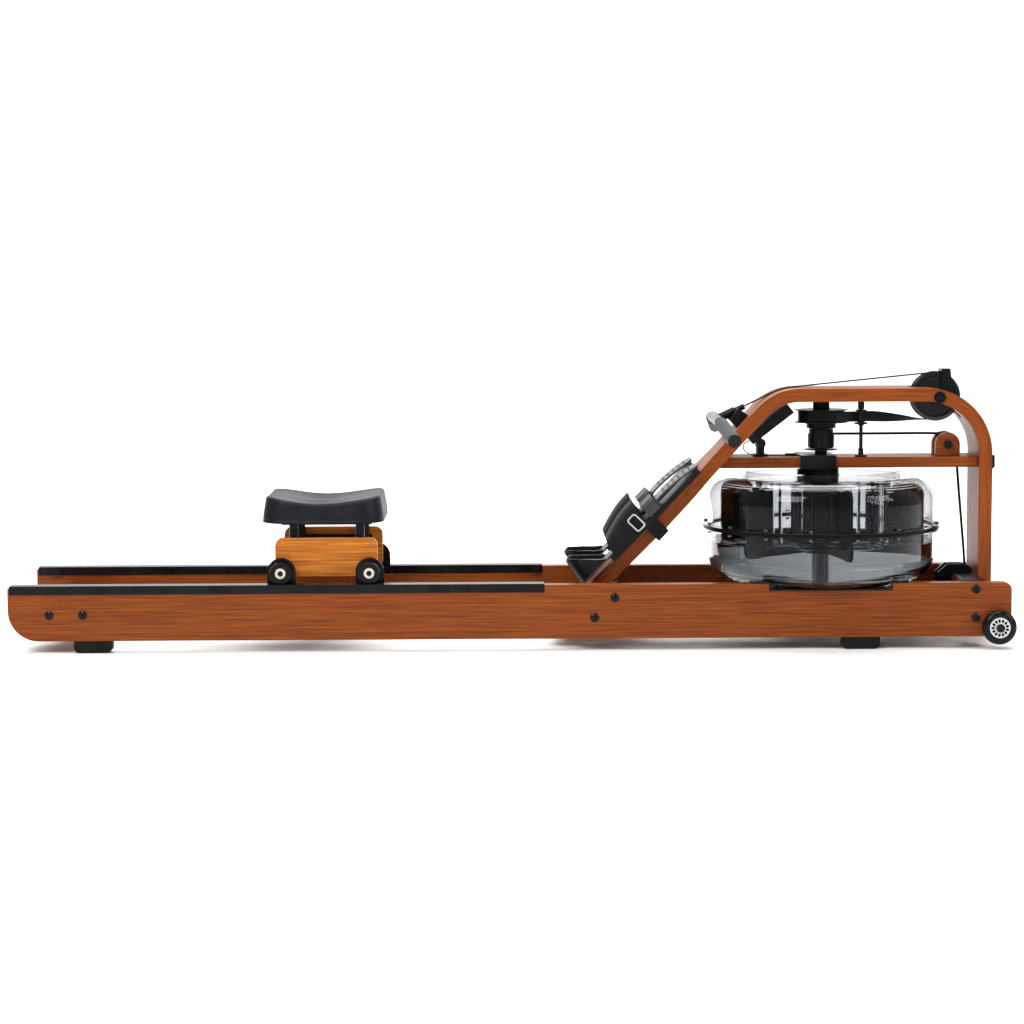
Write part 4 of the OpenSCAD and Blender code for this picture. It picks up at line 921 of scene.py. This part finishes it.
# The recoil cord: from the drum to the first pulley, down to the lower one, then back under the tank to its anchor.
def makeRecoilCord(c):
    path = np.concatenate([
        smoothCurve(c["fromDrum"], 5)[:-1],
        arcPoints(c["pulley"], c["pulleyRadius"], 92, 0, 16),
        smoothCurve(c["down"], 4),
        arcPoints(c["lower"], c["lowerRadius"], 8, -90, 14),
        smoothCurve(c["back"], 6)])
    cord = sweptMesh("recoilCord", path, circleSection(c["radius"]))
    place("recoilCord", cord, "braid", "frame", ["recoil_cord"])
    anchor = turnedMesh("cordAnchor", c["anchorProfile"], (0, 0, 0), "z", 48, False)
    anchor.transform(Matrix.Translation(c["anchorPlace"]) @ Matrix.Rotation(math.pi / 2, 4, "Y"))
    place("cordAnchor", anchor, "blackPlastic", "frame")


makeRecoilCord(cordSettings)

leadSettings = {
    "radius": 0.0013,
    "route": [
        (0.508, -0.021, 0.424), (0.5, -0.024, 0.421), (0.496, -0.025, 0.412), (0.501, -0.024, 0.402),
        (0.512, -0.022, 0.3965), (0.53, -0.022, 0.394), (0.56, -0.022, 0.3936), (0.6, -0.022, 0.3936),
        (0.6145, -0.022, 0.3936)],
}
lead = sweptMesh("monitorLead", smoothCurve(leadSettings["route"], 6), circleSection(leadSettings["radius"], 10))
place("monitorLead", lead, "rubber", "frame", ["monitor_lead"])
print("belt and cord made")

# Tank.

waterSettings = {
    "level": 0.2125, "radius": 0.2384, "corner": 0.06, "wall": 0.0045, "bottom": 0.1305, "flat": 0.183,
    "shaft": 0.0145, "ripple": 0.0011, "rings": 190, "calm": 0.05,
}


# The water body: the bowl's inside up to a level, with low ring ripples on its surface.
def makeWater(w):
    corner = w["corner"] - w["wall"]
    a = np.radians(np.linspace(-90, 0, 14))
    bowl = np.stack([w["flat"] + corner * np.cos(a), w["bottom"] + corner + corner * np.sin(a)], 1)
    top = np.linspace(w["radius"] - 0.0005, w["shaft"], 46)
    ripple = w["ripple"] * np.sin(top * w["rings"]) * np.clip((w["radius"] - top) / w["calm"], 0, 1)
    surface = np.stack([top, w["level"] + ripple], 1)
    profile = np.concatenate([[[w["shaft"], w["bottom"]]], bowl, [[w["radius"], w["level"] - 0.002]], surface])
    placeTurned("tankWater", profile, tankAxis, "clearWater", "frame", ["water"], "z", 128)


makeWater(waterSettings)

ribSettings = {
    "count": 12, "start": 15.0, "inner": 0.1352, "outer": 0.1402, "half": 0.0017, "low": 0.209, "high": 0.3378,
}


# Twelve dark upright ribs round the reservoir, each a thin bar: one bar's corners turned by even steps.
def makeRibs(r):
    a = np.radians(r["start"] + 360 / r["count"] * np.arange(r["count"]))
    acrossBar, alongBar, upBar = (r["inner"], r["outer"]), (-r["half"], r["half"]), (r["low"], r["high"])
    corners = np.array([[i, j, k] for i in acrossBar for j in alongBar for k in upBar])
    x = tankAxis[0] + corners[:, 0] * np.cos(a)[:, None] - corners[:, 1] * np.sin(a)[:, None]
    y = corners[:, 0] * np.sin(a)[:, None] + corners[:, 1] * np.cos(a)[:, None]
    points = np.stack([x, y, corners[:, 2] + 0 * x], 2).reshape(-1, 3)
    box = np.array([[0, 1, 3, 2], [4, 6, 7, 5], [0, 4, 5, 1], [2, 3, 7, 6], [0, 2, 6, 4], [1, 5, 7, 3]])
    faces = (box[None] + 8 * np.arange(r["count"])[:, None, None]).reshape(-1, 4)
    mesh = bpy.data.meshes.new("reservoirRibs")
    mesh.from_pydata(points.tolist(), [], faces.tolist())
    tidyMesh(mesh, 0.4)
    place("reservoirRibs", mesh, "deepBlack", "frame")


makeRibs(ribSettings)

# The dark clamp ring that hides the joint between the two shells.
clampProfile = [
    (0.2434, 0.2378), (0.2514, 0.2378), (0.2522, 0.2386), (0.2522, 0.2408), (0.2512, 0.2414), (0.2512, 0.2426),
    (0.2522, 0.2432), (0.2522, 0.2454), (0.2514, 0.2462), (0.2434, 0.2462)]
placeTurned("flangeRing", clampProfile, tankAxis, "deepBlack", "frame", axis="z", sides=160)
print("tank made")

# Handle.

handleSettings = {
    "inner": (0.44, 0.106, 0.47), "outer": (0.458, 0.25, 0.44), "grip": 0.0143, "bar": 0.0111,
    "endRadii": [0.0128, 0.0138], "nearEnd": [0.1, 0.1, 0.104, 0.112], "farEnd": [0.938, 0.946, 0.95, 0.95],
    "rings": 30, "ringDepth": 0.00015,
}


# A foam sleeve along part of the bar: a tube with faint rings, whose ends round down to the bar.
def makeGrip(side, h):
    a, b = np.array(h["inner"]) * (1, side, 1), np.array(h["outer"]) * (1, side, 1)
    share = np.concatenate([h["nearEnd"], np.linspace(0.13, 0.92, h["rings"]), h["farEnd"]])
    radius = np.concatenate([[h["bar"], *h["endRadii"], h["grip"]],
                             h["grip"] - h["ringDepth"] * (np.arange(h["rings"]) % 2),
                             [h["grip"], *h["endRadii"][::-1], h["bar"]]])
    centre = a + share[:, None] * (b - a)
    ahead = (b - a) / np.linalg.norm(b - a)
    across = np.cross(ahead, (0, 0, 1.0))
    across /= np.linalg.norm(across)
    up = np.cross(across, ahead)
    t = fullTurn(40)
    grid = centre[:, None] + radius[:, None, None] * (np.cos(t)[None, :, None] * across + np.sin(t)[None, :, None] * up)
    name = "grip" + sideWord[side]
    mesh = gridMesh(name, grid, closeRows=True, closeColumns=True)
    tidyMesh(mesh)
    place(name, mesh, "gripFoam", "handle", ["handle_grips"])


for side in (-1, 1):
    makeGrip(side, handleSettings)
print("handle made")

# Transport wheels.

rollerSettings = {
    "centre": (1.014, 0.046), "radius": 0.036, "inner": 0.194, "width": 0.024, "treadRound": 0.01,
    "face": 0.0022, "holes": 13, "stepsPerHole": 8, "holeDepth": 0.006, "holeMiddle": 0.0146, "holeReach": 0.0027,
    "holeShare": 0.62, "rimFrom": 0.0205,
    "coreRadii": [0.01, 0.0115, 0.0124, 0.0132, 0.0146, 0.016, 0.0168, 0.0185, 0.0214],
}


# Skate-type wheel: a round tread on a bright core with a pale bearing seal. The core's faces sink in a ring of ovals,
# whose hollows hold painted shade.
def makeRoller(side, name, s):
    y = side * (s["inner"] + s["width"] / 2)
    centre = (s["centre"][0], y, s["centre"][1])
    r, h = s["radius"], s["width"] / 2
    a = np.radians(np.linspace(90, -90, 15))
    tread = [(r - s["treadRound"] + s["treadRound"] * math.cos(t), h * math.sin(t) * 0.98) for t in a]
    tyre = [(0.0215, h - 0.002), (0.0225, h - 0.0008)] + tread + [(0.0225, 0.0008 - h), (0.0215, 0.002 - h)]
    body = name + "_roller"
    placeTurned(name + "Tyre", tyre, centre, "urethane", body, [name + "_transport_wheel"], sides=96)
    t = fullTurn(s["holes"] * s["stepsPerHole"])
    grids = []
    phase = np.abs(((t * s["holes"] / (2 * math.pi)) % 1) - 0.5) * 2
    for face in (1, -1):
        rr, pp = np.meshgrid(np.array(s["coreRadii"]), phase, indexing="ij")
        oval = 1 - ((rr - s["holeMiddle"]) / s["holeReach"]) ** 2 - (pp / s["holeShare"]) ** 2
        reach = np.clip(oval, 0, 1) > 0.02
        depth = np.where(reach, s["holeDepth"], 0.0)
        grids.append(np.stack([rr * np.cos(t), face * (h - s["face"] - depth), rr * np.sin(t)], 2))
    grid = np.concatenate([grids[0], grids[1][::-1]]) + np.array(centre)
    core = gridMesh(name + "Core", grid, closeRows=True, closeColumns=True)
    tidyMesh(core, 0.5)
    place(name + "Core", core, "zinc", body)
    # the faces deep in the ovals take deep black: painted shade in the hollows
    core.materials.append(finish["deepBlack"])
    middles = np.zeros(len(core.polygons) * 3)
    core.polygons.foreach_get("center", middles)
    inShadedHollow = np.abs(middles.reshape(-1, 3)[:, 1] - y) < h - s["face"] - 0.4 * s["holeDepth"]
    onRim = np.hypot(middles[0::3] - centre[0], middles[2::3] - centre[2]) > s["rimFrom"]
    core.polygons.foreach_set("material_index", (inShadedHollow & ~onRim).astype(np.int32))
    seal = bothFaces([(0.0056, h - 0.0016), (0.0062, h - 0.001), (0.0092, h - 0.001), (0.0099, h - 0.0018)])
    placeTurned(name + "Seal", seal, centre, "creamPlastic", body)


for side, word in ((-1, "right"), (1, "left")):
    makeRoller(side, word, rollerSettings)
print("rollers made")


# A pale floor that curves up into a wall far behind, as one sheet.
def makeFloor(f):
    a = np.linspace(0, math.pi / 2, 24)
    along = np.concatenate([np.linspace(f["floorNear"], f["floorFar"], 4), f["floorFar"] + f["curve"] * np.sin(a[1:]),
                            [f["floorFar"] + f["curve"]]])
    high = np.concatenate([np.zeros(4), f["curve"] * (1 - np.cos(a[1:])), [f["wallTop"]]]) - 0.0004
    across = np.linspace(-f["floorHalf"], f["floorHalf"], 3)
    mesh = gridMesh("floor", gridOf(across[:, None], along, high))
    for polygon in mesh.polygons:
        polygon.use_smooth = True
    startMaterial("floorPaint", roughness=0.75, baseColor=f["floorTone"])
    mesh.materials.append(finish["floorPaint"])
    floor = bpy.data.objects.new("floor", mesh)
    collection.objects.link(floor)


makeFloor(stageSettings)
